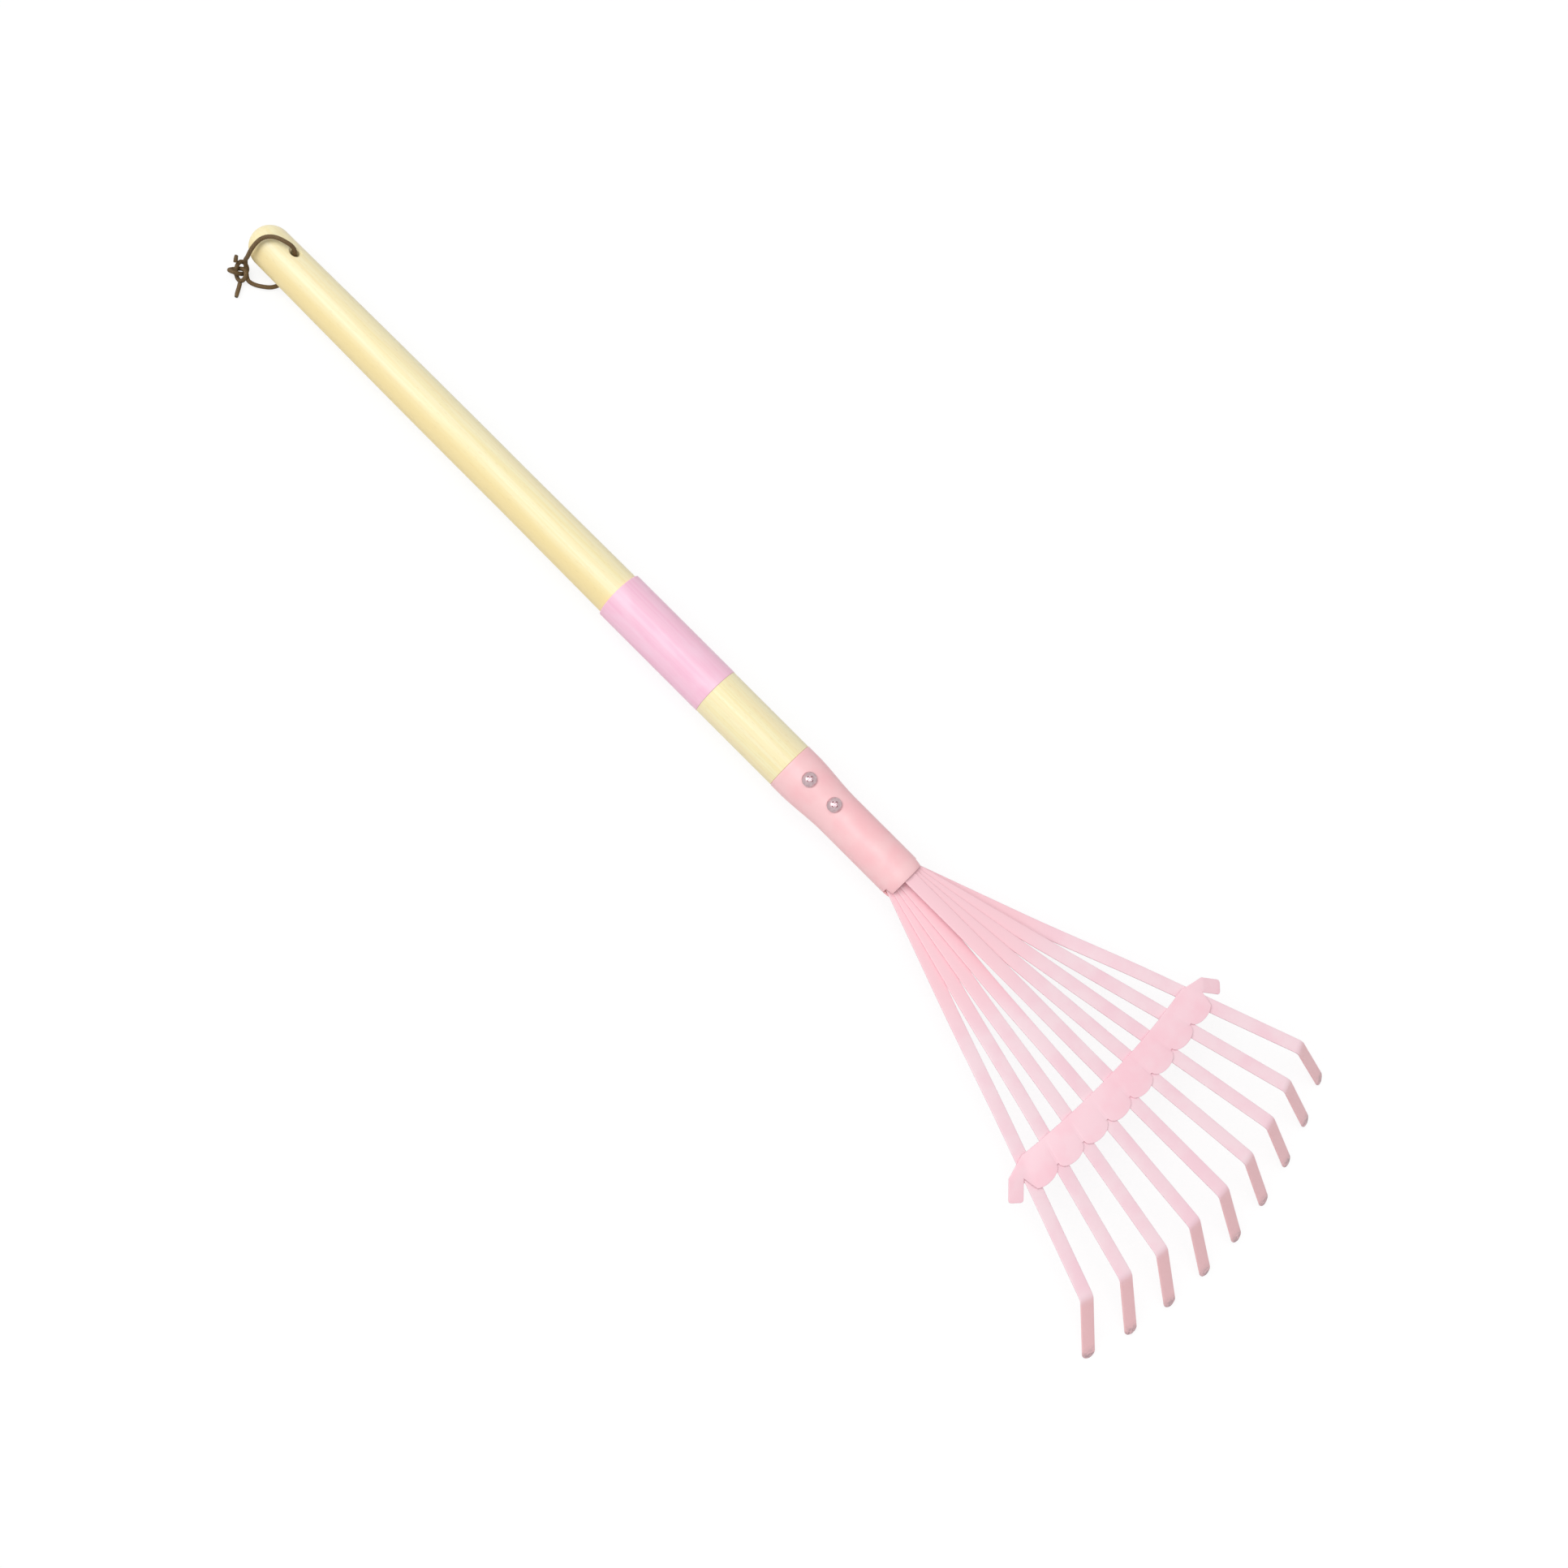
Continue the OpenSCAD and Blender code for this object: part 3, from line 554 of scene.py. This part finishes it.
def eased_through(values, count):
    """A curve through evenly spaced values: each stretch eases with its neighbours' slopes."""
    v = np.asarray(values, float)
    slope = (v[np.minimum(np.arange(len(v)) + 1, len(v) - 1)]
             - v[np.maximum(np.arange(len(v)) - 1, 0)]) / 2
    x = np.linspace(0.0, len(v) - 1, count)
    j = np.minimum(x.astype(int), len(v) - 2)
    t = x - j
    return ((2 * t ** 3 - 3 * t ** 2 + 1) * v[j] + (t ** 3 - 2 * t ** 2 + t) * slope[j]
            + (3 * t ** 2 - 2 * t ** 3) * v[j + 1] + (t ** 3 - t ** 2) * slope[j + 1])


def quarter(r_from, y_from, r_to, y_to):
    """A quarter round from one point of a profile to another, leaving along the radius: the
    radius goes with the sine and the height with one less the cosine."""
    a = np.linspace(0.0, np.pi / 2, QUARTER_STEPS)
    return np.stack([mix(r_from, r_to, np.sin(a)), mix(y_from, y_to, 1 - np.cos(a))], -1)


def sheet_radius(y):
    """Outside radius of the socket: the rim's, then an eased step down to the neck's, then a
    quarter ellipse in to the mouth's."""
    swaged = mix(RIM_R, NECK_R, ease((-y - RIM_LEN) / SWAGE_LEN))
    rolled = np.clip(1 - (y - MOUTH_Y) / MOUTH_LEN, 0.0, 1.0)
    return swaged - (NECK_R - MOUTH_R) * (1 - np.sqrt(1 - rolled ** 2))


def make_handle():
    """One turned profile: tenon, straight seat, shallow seat for the band, slightly tapering
    grip and half round end, with the cross hole cut out. The hole's two countersinks are cones
    that are a chamfer wider than the hole where they meet the surface."""
    tenon_y = np.linspace(TENON_END_Y, 0.0, TENON_STEPS)
    tenon = np.stack([sheet_radius(tenon_y) - SHEET - SOCKET_CLEAR, tenon_y], -1)
    dome_y = WOOD_LEN - GRIP_END_R
    grip_y = np.linspace(BAND_TO, dome_y, GRIP_STEPS)
    shares = eased_through(GRIP_SHARES, GRIP_STEPS)
    grip = np.stack([mix(GRIP_END_R, BAND_SEAT_R, shares), grip_y], -1)
    a = np.linspace(0.0, np.pi / 2, DOME_STEPS)[1:]
    dome = np.stack([GRIP_END_R * np.cos(a), dome_y + GRIP_END_R * np.sin(a)], -1)
    profile = np.concatenate([
        [[0.0, TENON_END_Y]], tenon,
        quarter(SEAT_R - SEAT_EDGE, 0.0, SEAT_R, SEAT_EDGE),
        [[SEAT_R, SEAT_LEN - SEAT_EDGE], [SEAT_R, SEAT_LEN], [BAND_SEAT_R, SEAT_LEN]],
        grip, dome])
    points = lathe(profile)
    handle = shell("wooden_handle", points, skin(*points.shape[:2]))
    far = GRIP_END_R + HOLE_CHAMFER
    near = GRIP_END_R - HOLE_CHAMFER
    wide = HOLE_R + 2 * HOLE_CHAMFER
    bit = stood_up(lathe([(0.0, -far), (wide, -far), (HOLE_R, -near), (HOLE_R, near),
                          (wide, far), (0.0, far)], SMALL_SIDES), HOLE_TURN, HOLE_Y)
    cut_out(handle, [shell("bit", bit, skin(*bit.shape[:2]))])
    hand_over(handle, WOOD, "wood", "handle")


def make_band():
    """The sleeve: a tube about 1 mm thick whose outer edges are rounded."""
    middle = np.linspace(BAND_FROM + 2 * BAND_EDGE, BAND_TO - 2 * BAND_EDGE, BAND_STEPS)
    profile = np.concatenate([
        [[BAND_BORE_R, BAND_FROM]],
        quarter(BAND_OUT_R - BAND_EDGE, BAND_FROM, BAND_OUT_R, BAND_FROM + BAND_EDGE),
        np.stack([np.full(BAND_STEPS, BAND_OUT_R), middle], -1),
        quarter(BAND_OUT_R - BAND_EDGE, BAND_TO, BAND_OUT_R, BAND_TO - BAND_EDGE)[::-1],
        [[BAND_BORE_R, BAND_TO]]])
    points = lathe(profile)
    band = shell("pink_band", points, skin(*points.shape[:2], True))
    hand_over(band, VINYL, "band", "colour_band")


def block(low, high):
    """A closed box between two corners, as points and faces."""
    x, y, z = np.meshgrid(*zip(low, high), indexing="ij")
    points = np.stack([x, y, z], -1).reshape(-1, 3)
    return points, [[0, 1, 3, 2], [4, 6, 7, 5], [0, 4, 5, 1], [2, 3, 7, 6], [0, 2, 6, 4],
                    [1, 5, 7, 3]]


# The angle from each tine to the next, and the tines on each side of the middle one
FAN_PITCH = math.radians(5.3)
SIDE_COUNT = 4
ROOT_PITCH = TINE_T + FACE_GAP
# The stack of roots sits as high as the mouth's bore leaves room for, less a clearance, and at
# a whole number of gaps.
ROOT_CLEAR = 4 * SOCKET_CLEAR
STACK_ROOM = math.sqrt((MOUTH_R - SHEET) ** 2 - TINE_HALF ** 2) - ROOT_CLEAR
STACK_TOP = math.floor(STACK_ROOM / FACE_GAP) * FACE_GAP
STACK_END = STACK_TOP - 2 * SIDE_COUNT * ROOT_PITCH - TINE_T


def root_z(i):
    """Height of a root in the stack: the middle one on top, then its right neighbours, then the
    left ones from the middle outwards, and the outermost right one at the bottom."""
    order = 2 * SIDE_COUNT if i == SIDE_COUNT else SIDE_COUNT - 1 - i if i < 0 else i
    return STACK_TOP - TINE_T / 2 - order * ROOT_PITCH


def slot_high(side):
    """Upper edge of a side slot: it clears the highest root from the second one outwards."""
    return max(root_z(side * i) for i in range(2, SIDE_COUNT + 1)) + TINE_T / 2 + ROOT_CLEAR


# The outermost tines' outer edges leave the neck's bore at this distance from the crossing
# point, and the slots reach in a tine's thickness further.
OUTER = SIDE_COUNT * FAN_PITCH
LEAVES_AT = (NECK_R - SHEET - TINE_HALF / math.cos(OUTER)) / math.tan(OUTER)
SLOT_LEN = CROSS_IN - (LEAVES_AT - TINE_T)
SLOT_LOW = STACK_END - ROOT_CLEAR


def make_socket():
    """The swaged tube: its outside follows sheet_radius and its inside lies one sheet
    further in, with both edges rounded, and a slot on each side of the mouth."""
    roll = np.linspace(0.0, MOUTH_ROLL, MOUTH_STEPS)[1:]
    y = np.concatenate([np.linspace(RIM_Y - SOCKET_EDGE, -RIM_LEN, RIM_STEPS),
                        np.linspace(-RIM_LEN, -RIM_LEN - SWAGE_LEN, SWAGE_STEPS)[1:],
                        np.linspace(-RIM_LEN - SWAGE_LEN, MOUTH_Y + MOUTH_LEN, NECK_STEPS)[1:],
                        MOUTH_Y + MOUTH_LEN * (1 - np.sin(roll))])
    outside = np.stack([sheet_radius(y), y], -1)
    inside = np.stack([sheet_radius(y) - SHEET, y], -1)
    lip = np.array([[MOUTH_R - share * SHEET, MOUTH_Y] for share in LIP_SHARES])
    rim = np.array([[RIM_R - SHEET + SOCKET_EDGE / 2, RIM_Y], [RIM_R - SOCKET_EDGE, RIM_Y],
                    [RIM_R - CORNER_SHARE * SOCKET_EDGE, RIM_Y - CORNER_SHARE * SOCKET_EDGE]])
    points = lathe(np.concatenate([outside, lip, inside[::-1], rim]))
    socket = shell("steel_socket", points, skin(*points.shape[:2], True))
    cutters = []
    for side in (-1, 1):
        x_from, x_to = sorted((side * RIM_R / 2, side * RIM_R * 3 / 2))
        cutters.append(shell("slot_cutter", *block(
            (x_from, MOUTH_Y - SLOT_LEN, SLOT_LOW),
            (x_to, MOUTH_Y + SLOT_LEN, slot_high(side)))))
    cut_out(socket, cutters)
    hand_over(socket, SOCKET_ENAMEL, "pink_paint", "socket")


make_handle()
make_band()
make_socket()


# Screws

# Turn from upright, distance of the upper screw from the rim, and of the lower from the upper
SCREW_TURN = math.radians(-11.5)
SCREW_INSET, SCREW_PITCH = 12.3 * MM, 17.0 * MM
SCREW_R, SCREW_LEN = 1.75 * MM, 13.0 * MM
HEAD_R, HEAD_H, HEAD_STEPS = 3.8 * MM, 2.3 * MM, 24
RECESS_W, RECESS_H = 1.1 * MM, 1.4 * MM
# The recess's cutters stand this far over the head, and narrow downwards to these shares of
# their length and width.
RECESS_OVER = 0.5 * MM
RECESS_LOW_SHARES = (0.45, 1.0, 0.7)


def make_screw(name, node, y):
    """A pan head on a plain shank with a cone tip: the head is a cap of the sphere whose radius
    is (r r + h h) / 2 h, and two crossed tapered slots are cut into it."""
    seat = float(sheet_radius(np.float64(y + HEAD_R))) + FACE_GAP
    dome_r = (HEAD_R ** 2 + HEAD_H ** 2) / (2 * HEAD_H)
    a = math.asin(HEAD_R / dome_r) * np.linspace(1.0, 0.0, HEAD_STEPS)
    head = np.stack([dome_r * np.sin(a), seat + HEAD_H - dome_r + dome_r * np.cos(a)], -1)
    tip = seat - SCREW_LEN
    shank = [[0.0, tip], [SCREW_R, tip + 2 * SCREW_R], [SCREW_R, seat]]
    points = stood_up(lathe(np.concatenate([shank, head]), SMALL_SIDES), SCREW_TURN, y)
    screw = shell(name, points, skin(*points.shape[:2]))
    half = HEAD_R / 2 + RECESS_W / 2
    top, low = seat + HEAD_H + RECESS_OVER, seat + HEAD_H - RECESS_H
    cutters = []
    for turn in (False, True):
        corners, faces = block((-half, low, -RECESS_W / 2), (half, top, RECESS_W / 2))
        at_low = corners[:, 1] == low
        corners[at_low] *= np.array(RECESS_LOW_SHARES)
        if turn:
            corners = corners[:, [2, 1, 0]]
        cutters.append(shell("recess_cutter", stood_up(corners, SCREW_TURN, y), faces))
    cut_out(screw, cutters)
    hand_over(screw, ZINC, "screw_steel", node)


make_screw("upper_screw", "screw_upper", -SCREW_INSET)
make_screw("lower_screw", "screw_lower", -SCREW_INSET - SCREW_PITCH)


# Tines

# From the crossing point to the bend, from there to the tip, and how far the tooth turns down
REACH, TOOTH_LEN, TOOTH_BEND = 231.0 * MM, 44.0 * MM, math.radians(50.0)
BEND_INNER_R = 4.0 * MM
# The middle tine's height at the spreader, and how far the outermost ones lie below it
FAN_Z, FAN_CROWN = 6.9 * MM, 4.1 * MM
# The spreader's distance from the crossing point, and its width
BAR_REACH, BAR_W = 161.1 * MM, 13.8 * MM
EDGE_ROUND, EDGE_STEPS = 0.4 * MM, 5
# Rings along the stretches of a tine
ROOT_STEPS, RISE_STEPS, LEVEL_STEPS = 12, 40, 14
END_STEPS, BEND_STEPS, TOOTH_STEPS = 10, 14, 14
# The pooled coat thins out to its end, the teeth's painted shade comes in from just before the
# bend, and the wear fades away from the tip.
POOL_END, POOL_FADE = 110.0 * MM, 40.0 * MM
TEETH_SHADE_LEAD, TEETH_SHADE_FADE = 1.0 * MM, 4.0 * MM
WEAR_FADE = 5.0 * MM

BEND_R = BEND_INNER_R + TINE_T / 2
# A tine lies flat until its neighbours part, and reaches its height just before the spreader.
PART_R = (TINE_HALF + FACE_GAP) / math.sin(FAN_PITCH / 2)
SETTLE_R = BAR_REACH - BAR_W / 2 - TINE_HALF
TIP_OUT = REACH + TOOTH_LEN * math.cos(TOOTH_BEND)


def bar_z(i):
    """Height of a tine at the spreader: it falls with the square of its place from the middle."""
    return FAN_Z - FAN_CROWN * (i / SIDE_COUNT) ** 2


def rounded_strip(half_width, half_height, edge):
    """Cross sections of a strip with rounded edges, as (across, up) for every ring:
    at each of four corners, the corner point less the edge plus the edge times (cos, sin)."""
    quarter_turn = np.linspace(0.0, np.pi / 2, EDGE_STEPS)
    a = np.concatenate([quarter_turn + k * np.pi / 2 for k in range(4)])
    to_side = np.repeat([1.0, -1.0, -1.0, 1.0], EDGE_STEPS)
    to_top = np.repeat([1.0, 1.0, -1.0, -1.0], EDGE_STEPS)
    edge_x = np.minimum(edge, half_width)[:, None]
    x = to_side * (half_width[:, None] - edge_x) + edge_x * np.cos(a)
    z = to_top * (half_height - edge) + edge * np.sin(a)
    return x, np.broadcast_to(z, x.shape)


def tine_line(i):
    """The tine's middle line as distance, height and heading, with its half width: flat at the
    root, eased to its height at the spreader, level to the bend, a round bend, and straight
    down the tooth. Both ends are half round: the half width goes with the cosine."""
    turn = np.linspace(0.0, np.pi / 2, END_STEPS)
    level_to = REACH - BEND_R * math.tan(TOOTH_BEND / 2)
    flat = np.concatenate([-TINE_HALF * np.cos(turn), np.linspace(0.0, PART_R, ROOT_STEPS)[1:],
                           np.linspace(PART_R, SETTLE_R, RISE_STEPS)[1:],
                           np.linspace(SETTLE_R, level_to, LEVEL_STEPS)[1:]])
    height = mix(root_z(i), bar_z(i), ease((flat - PART_R) / (SETTLE_R - PART_R)))
    bend = TOOTH_BEND * np.linspace(0.0, 1.0, BEND_STEPS)[1:]
    bend_d = level_to + BEND_R * np.sin(bend)
    bend_z = bar_z(i) - BEND_R * (1 - np.cos(bend))
    run = TOOTH_LEN - TINE_HALF
    start = np.hypot(bend_d[-1] - REACH, bend_z[-1] - bar_z(i))
    down = np.concatenate([np.linspace(start, run, TOOTH_STEPS)[1:],
                           run + TINE_HALF * np.sin(turn)[1:]])
    d = np.concatenate([flat, bend_d, REACH + down * math.cos(TOOTH_BEND)])
    z = np.concatenate([height, bend_z, bar_z(i) - down * math.sin(TOOTH_BEND)])
    slope = np.arctan2(np.gradient(z), np.gradient(d))
    slope[:END_STEPS], slope[-len(down):] = 0.0, -TOOTH_BEND
    half = np.full(len(d), TINE_HALF)
    half[:END_STEPS] = TINE_HALF * np.sin(turn)
    half[1 - END_STEPS:] = TINE_HALF * np.cos(turn)[1:]
    return d, z, slope, half


def make_tine(number):
    """A strip carried along its line and turned to its place in the fan: (across, out) goes to
    x = across cos a + out sin a and y = crossing + across sin a - out cos a."""
    i = number - 1 - SIDE_COUNT
    d, z, slope, half = tine_line(i)
    x, up = rounded_strip(half, TINE_T / 2, EDGE_ROUND)
    out = d[:, None] - up * np.sin(slope)[:, None]
    height = z[:, None] + up * np.cos(slope)[:, None]
    a = i * FAN_PITCH
    points = np.stack([x * math.cos(a) + out * math.sin(a),
                       CROSS_Y + x * math.sin(a) - out * math.cos(a), height], -1)
    marks = {"pooled": ease((POOL_END - out) / POOL_FADE),
             # The teeth's painted shade runs from just before the bend to the tip.
             "teeth_shade": ease((out - REACH + TEETH_SHADE_LEAD) / TEETH_SHADE_FADE),
             "wear": ease(1 - (TIP_OUT - out) / WEAR_FADE)}
    tine = shell(f"tine_{number}_strip", points, skin(*x.shape), marks)
    hand_over(tine, TINE_ENAMEL, "pink_paint", f"tine_{number}")


for tine_number in range(1, 2 * SIDE_COUNT + 2):
    make_tine(tine_number)


# Spreader

# The curve and turn of both strips, their sheet, and the under strip's width
BAR_CURVE_R, BAR_T, BACK_W = 515.0 * MM, 1.0 * MM, 9.0 * MM
BAR_TURN = math.radians(2.2)
# The under strip stays flat this far past each tine's edge.
BRIDGE_SIDE = 0.6 * MM
# A lobe's height, its share of the pitch, and the angle from each lobe to the next
LOBE_H, LOBE_SHARE, LOBE_PITCH = 4.4 * MM, 0.93, math.radians(5.5)
# An end tab: its start past the outermost tine's middle, length, half width and corners, and how
# far it droops and points outwards
TAB_START, TAB_LEN, TAB_HALF, TAB_CORNER = 6.8 * MM, 11.5 * MM, 3.7 * MM, 1.5 * MM
TAB_DROOP, TAB_OUT = math.radians(17.0), math.radians(43.0)
PLATE_ROUND = 0.3 * MM
# Rings of a lobe, of the under strip, and of a tab's straight part and corner
LOBE_STEPS, BACK_STEPS, TAB_STEPS, CORNER_STEPS = 49, 400, 8, 7
# Rings of the top strip nearer to its ends than this are left out.
END_CLEAR = 0.5 * MM


def bar_r(a):
    """Distance of the spreader's middle from the crossing point: its curve is a circle whose
    centre lies on the handle's line, and it is turned a little, which adds reach sin a tan
    turn."""
    centre = BAR_REACH - BAR_CURVE_R
    return (centre * np.cos(a) + np.sqrt(BAR_CURVE_R ** 2 - (centre * np.sin(a)) ** 2)
            + BAR_REACH * np.sin(a) * math.tan(BAR_TURN))


def crown_z(a):
    """Height of the top strip's underside: the tines' crown shifted out by half a tine, so that
    it clears each tine's outer edge."""
    i = np.maximum(np.abs(a) - TINE_HALF / BAR_REACH, 0.0) / FAN_PITCH
    return bar_z(i) + TINE_T / 2 + FACE_GAP


def back_z(a):
    """Height of the under strip's upper face: flat below each tine, and eased halfway to the
    next up to the top strip."""
    i = np.clip(np.round(a / FAN_PITCH), -SIDE_COUNT, SIDE_COUNT)
    off = np.abs(a - i * FAN_PITCH) * BAR_REACH
    flat = TINE_HALF + BRIDGE_SIDE
    closing = ease((off - flat) / (FAN_PITCH * BAR_REACH / 2 - flat - BRIDGE_SIDE))
    return mix(bar_z(i) - TINE_T / 2, crown_z(a), closing) - FACE_GAP


def lobe(a):
    """How far a lobe stands out of the edge nearest the teeth: half an ellipse between each two
    tines."""
    x = a / LOBE_PITCH - 0.5
    d = x - np.round(x)
    return LOBE_H * np.sqrt(np.maximum(0.0, 1 - (2 * d / LOBE_SHARE) ** 2))


def lobe_angles():
    """Angles of the top strip's rings: each lobe's go with the sine, so that they crowd where
    its edge is steep, and the ends are the outermost tines' angles."""
    swing = LOBE_SHARE * LOBE_PITCH / 2 * np.sin(
        np.linspace(-np.pi / 2, np.pi / 2, LOBE_STEPS))
    centres = (np.arange(-SIDE_COUNT, SIDE_COUNT) + 0.5) * LOBE_PITCH
    a = (centres[:, None] + swing).ravel()
    a = a[np.abs(a) < OUTER - END_CLEAR / BAR_REACH]
    return np.concatenate([[-OUTER], a, [OUTER]])


def plate(name, node, near, far, low):
    """A strip of sheet whose two edges are the given lines of (x, y) points: each ring runs
    from its near point to its far point and has rounded corners."""
    middle, reach = (near + far) / 2, (far - near) / 2
    half = np.linalg.norm(reach, axis=1)
    x, up = rounded_strip(half, BAR_T / 2, PLATE_ROUND)
    spot = middle[:, None] + x[..., None] * (reach / half[:, None])[:, None]
    points = np.concatenate([spot, (low[:, None] + BAR_T / 2 + up)[..., None]], -1)
    piece = shell(name, points, skin(*x.shape) + end_caps(*x.shape))
    hand_over(piece, BAR_ENAMEL, "pink_paint", node)


def at_polar(a, r):
    """A point at a distance from the crossing point, at an angle from minus Y."""
    return np.stack([r * np.sin(a), CROSS_Y - r * np.cos(a)], -1)


def tab_rings(side):
    """The end tab's rings from its fold to its round-cornered end: its middle runs outwards at
    the tab's angle and falls with its droop."""
    corner = np.linspace(0.0, np.pi / 2, CORNER_STEPS)
    straight = np.linspace(0.0, TAB_LEN - TAB_CORNER, TAB_STEPS)[:-1]
    run = np.concatenate([straight, TAB_LEN - TAB_CORNER * (1 - np.sin(corner))])
    half = np.concatenate([np.full(len(straight), TAB_HALF),
                           TAB_HALF - TAB_CORNER * (1 - np.cos(corner))])
    a = OUTER + TAB_START / BAR_REACH
    flat = run * math.cos(TAB_DROOP)
    root = bar_r(side * a)

    def edge(across_by):
        return np.stack([
            side * (root * math.sin(a) + flat * math.sin(TAB_OUT)
                    + across_by * math.cos(TAB_OUT)),
            CROSS_Y - root * math.cos(a) - flat * math.cos(TAB_OUT)
            + across_by * math.sin(TAB_OUT)], -1)

    low = crown_z(OUTER) - run * math.tan(TAB_DROOP)
    return edge(half), edge(-half), low


def make_spreader():
    """The lobed top strip with its end tabs, and the plain strip under the tines."""
    a = lobe_angles()
    near = at_polar(a, bar_r(a) - BAR_W / 2)
    far = at_polar(a, bar_r(a) + BAR_W / 2 + lobe(a))
    low = crown_z(a)
    left, right = tab_rings(-1), tab_rings(1)
    near = np.concatenate([left[0][::-1], near, right[0]])
    far = np.concatenate([left[1][::-1], far, right[1]])
    low = np.concatenate([left[2][::-1], low, right[2]])
    plate("spreader_top_strip", "spreader_plate", near, far, low)
    back_end = OUTER + TINE_HALF / BAR_REACH
    a = np.linspace(-back_end, back_end, BACK_STEPS)
    plate("spreader_under_strip", "spreader_back", at_polar(a, bar_r(a) - BACK_W / 2),
          at_polar(a, bar_r(a) + BACK_W / 2), back_z(a) - BAR_T)


make_spreader()


# What the socket and the hole hold

for node_name, node_finish in (("root_plug", RAW_WOOD), ("root_rivet", ZINC),
                               ("cord_in_hole", LACE)):
    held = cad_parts[node_name]
    if not held.material_slots:
        held.data.materials.append(node_finish)
    for place_of in held.material_slots:
        place_of.material = node_finish


# Floor and light

FLOOR_SPAN, FLOOR_CLEAR = 6.0, 0.1 * MM
# The floor passes just under the outermost teeth's tips and the lace's long tail: y and z.
FLOOR_TEETH = (CROSS_Y - TIP_OUT * math.cos(OUTER), cad_box[0][2] - FLOOR_CLEAR)
FLOOR_TAIL = (LONG_TAIL_ROUTE[-1][1] * MM, LONG_TAIL_ROUTE[-1][2] * MM - LACE_D / 2 - FLOOR_CLEAR)
SKY_COLOUR, SKY_STRENGTH = "E7E7E7", 0.59
SUN_STRENGTH = 1.73
SUN_TURN = (math.radians(-20.5), math.radians(-18.7), 0.0)
SUN_SPREAD = math.radians(50.0)
PAPER_COLOUR = "EAEAEA"
FLOOR_SHADOW_SHARE = 0.18
FLOOR_GLOW = 0.84


def floor_finish():
    """Plain white paper: matt to the object, and to the camera mostly even white that keeps a
    share of the object's shadow."""
    material = bpy.data.materials.new("white_paper")
    material.use_nodes = True
    tree = material.node_tree
    tree.nodes.clear()
    paper = add(tree, "ShaderNodeBsdfDiffuse", {"Color": linear(PAPER_COLOUR)})
    shade = add(tree, "ShaderNodeBsdfDiffuse", {"Color": (FLOOR_SHADOW_SHARE,) * 3 + (1.0,)})
    glow = add(tree, "ShaderNodeEmission", {"Strength": FLOOR_GLOW})
    seen = add(tree, "ShaderNodeAddShader", {0: shade, 1: glow})
    by_camera = add(tree, "ShaderNodeLightPath", out="Is Camera Ray")
    both = add(tree, "ShaderNodeMixShader", {0: by_camera, 1: paper, 2: seen})
    add(tree, "ShaderNodeOutputMaterial", {"Surface": both})
    return material


def set_stage():
    """A wide floor under the rake, one broad soft sun, and an even pale sky, which is dimmer as
    a light than it is to the camera and in reflections."""
    rise = (FLOOR_TAIL[1] - FLOOR_TEETH[1]) / (FLOOR_TAIL[0] - FLOOR_TEETH[0])
    x, y = np.meshgrid([-FLOOR_SPAN, FLOOR_SPAN], [-FLOOR_SPAN, FLOOR_SPAN], indexing="ij")
    z = FLOOR_TEETH[1] + (y - FLOOR_TEETH[0]) * rise
    mesh = bpy.data.meshes.new("floor")
    mesh.from_pydata(np.stack([x, y, z], -1).reshape(-1, 3).tolist(), [], [[0, 2, 3, 1]])
    mesh.materials.append(floor_finish())
    floor = bpy.data.objects.new("floor", mesh)
    bpy.context.scene.collection.objects.link(floor)

    lamp = bpy.data.lights.new("sun", "SUN")
    lamp.energy, lamp.angle = SUN_STRENGTH, SUN_SPREAD
    sun = bpy.data.objects.new("sun", lamp)
    sun.rotation_euler = SUN_TURN
    bpy.context.scene.collection.objects.link(sun)

    world = bpy.data.worlds.new("pale_sky")
    bpy.context.scene.world = world
    world.use_nodes = True
    tree = world.node_tree
    tree.nodes.clear()
    by_camera = add(tree, "ShaderNodeLightPath", out="Is Camera Ray")
    by_gloss = add(tree, "ShaderNodeLightPath", out="Is Glossy Ray")
    plain = add(tree, "ShaderNodeMath", {0: by_camera, 1: by_gloss}, operation="MAXIMUM")
    strength = add(tree, "ShaderNodeMapRange", {"Value": plain, "To Min": SKY_STRENGTH})
    sky = add(tree, "ShaderNodeBackground", {"Color": linear(SKY_COLOUR), "Strength": strength})
    add(tree, "ShaderNodeOutputWorld", {"Surface": sky})
    bpy.context.scene.view_settings.view_transform = "Standard"


set_stage()
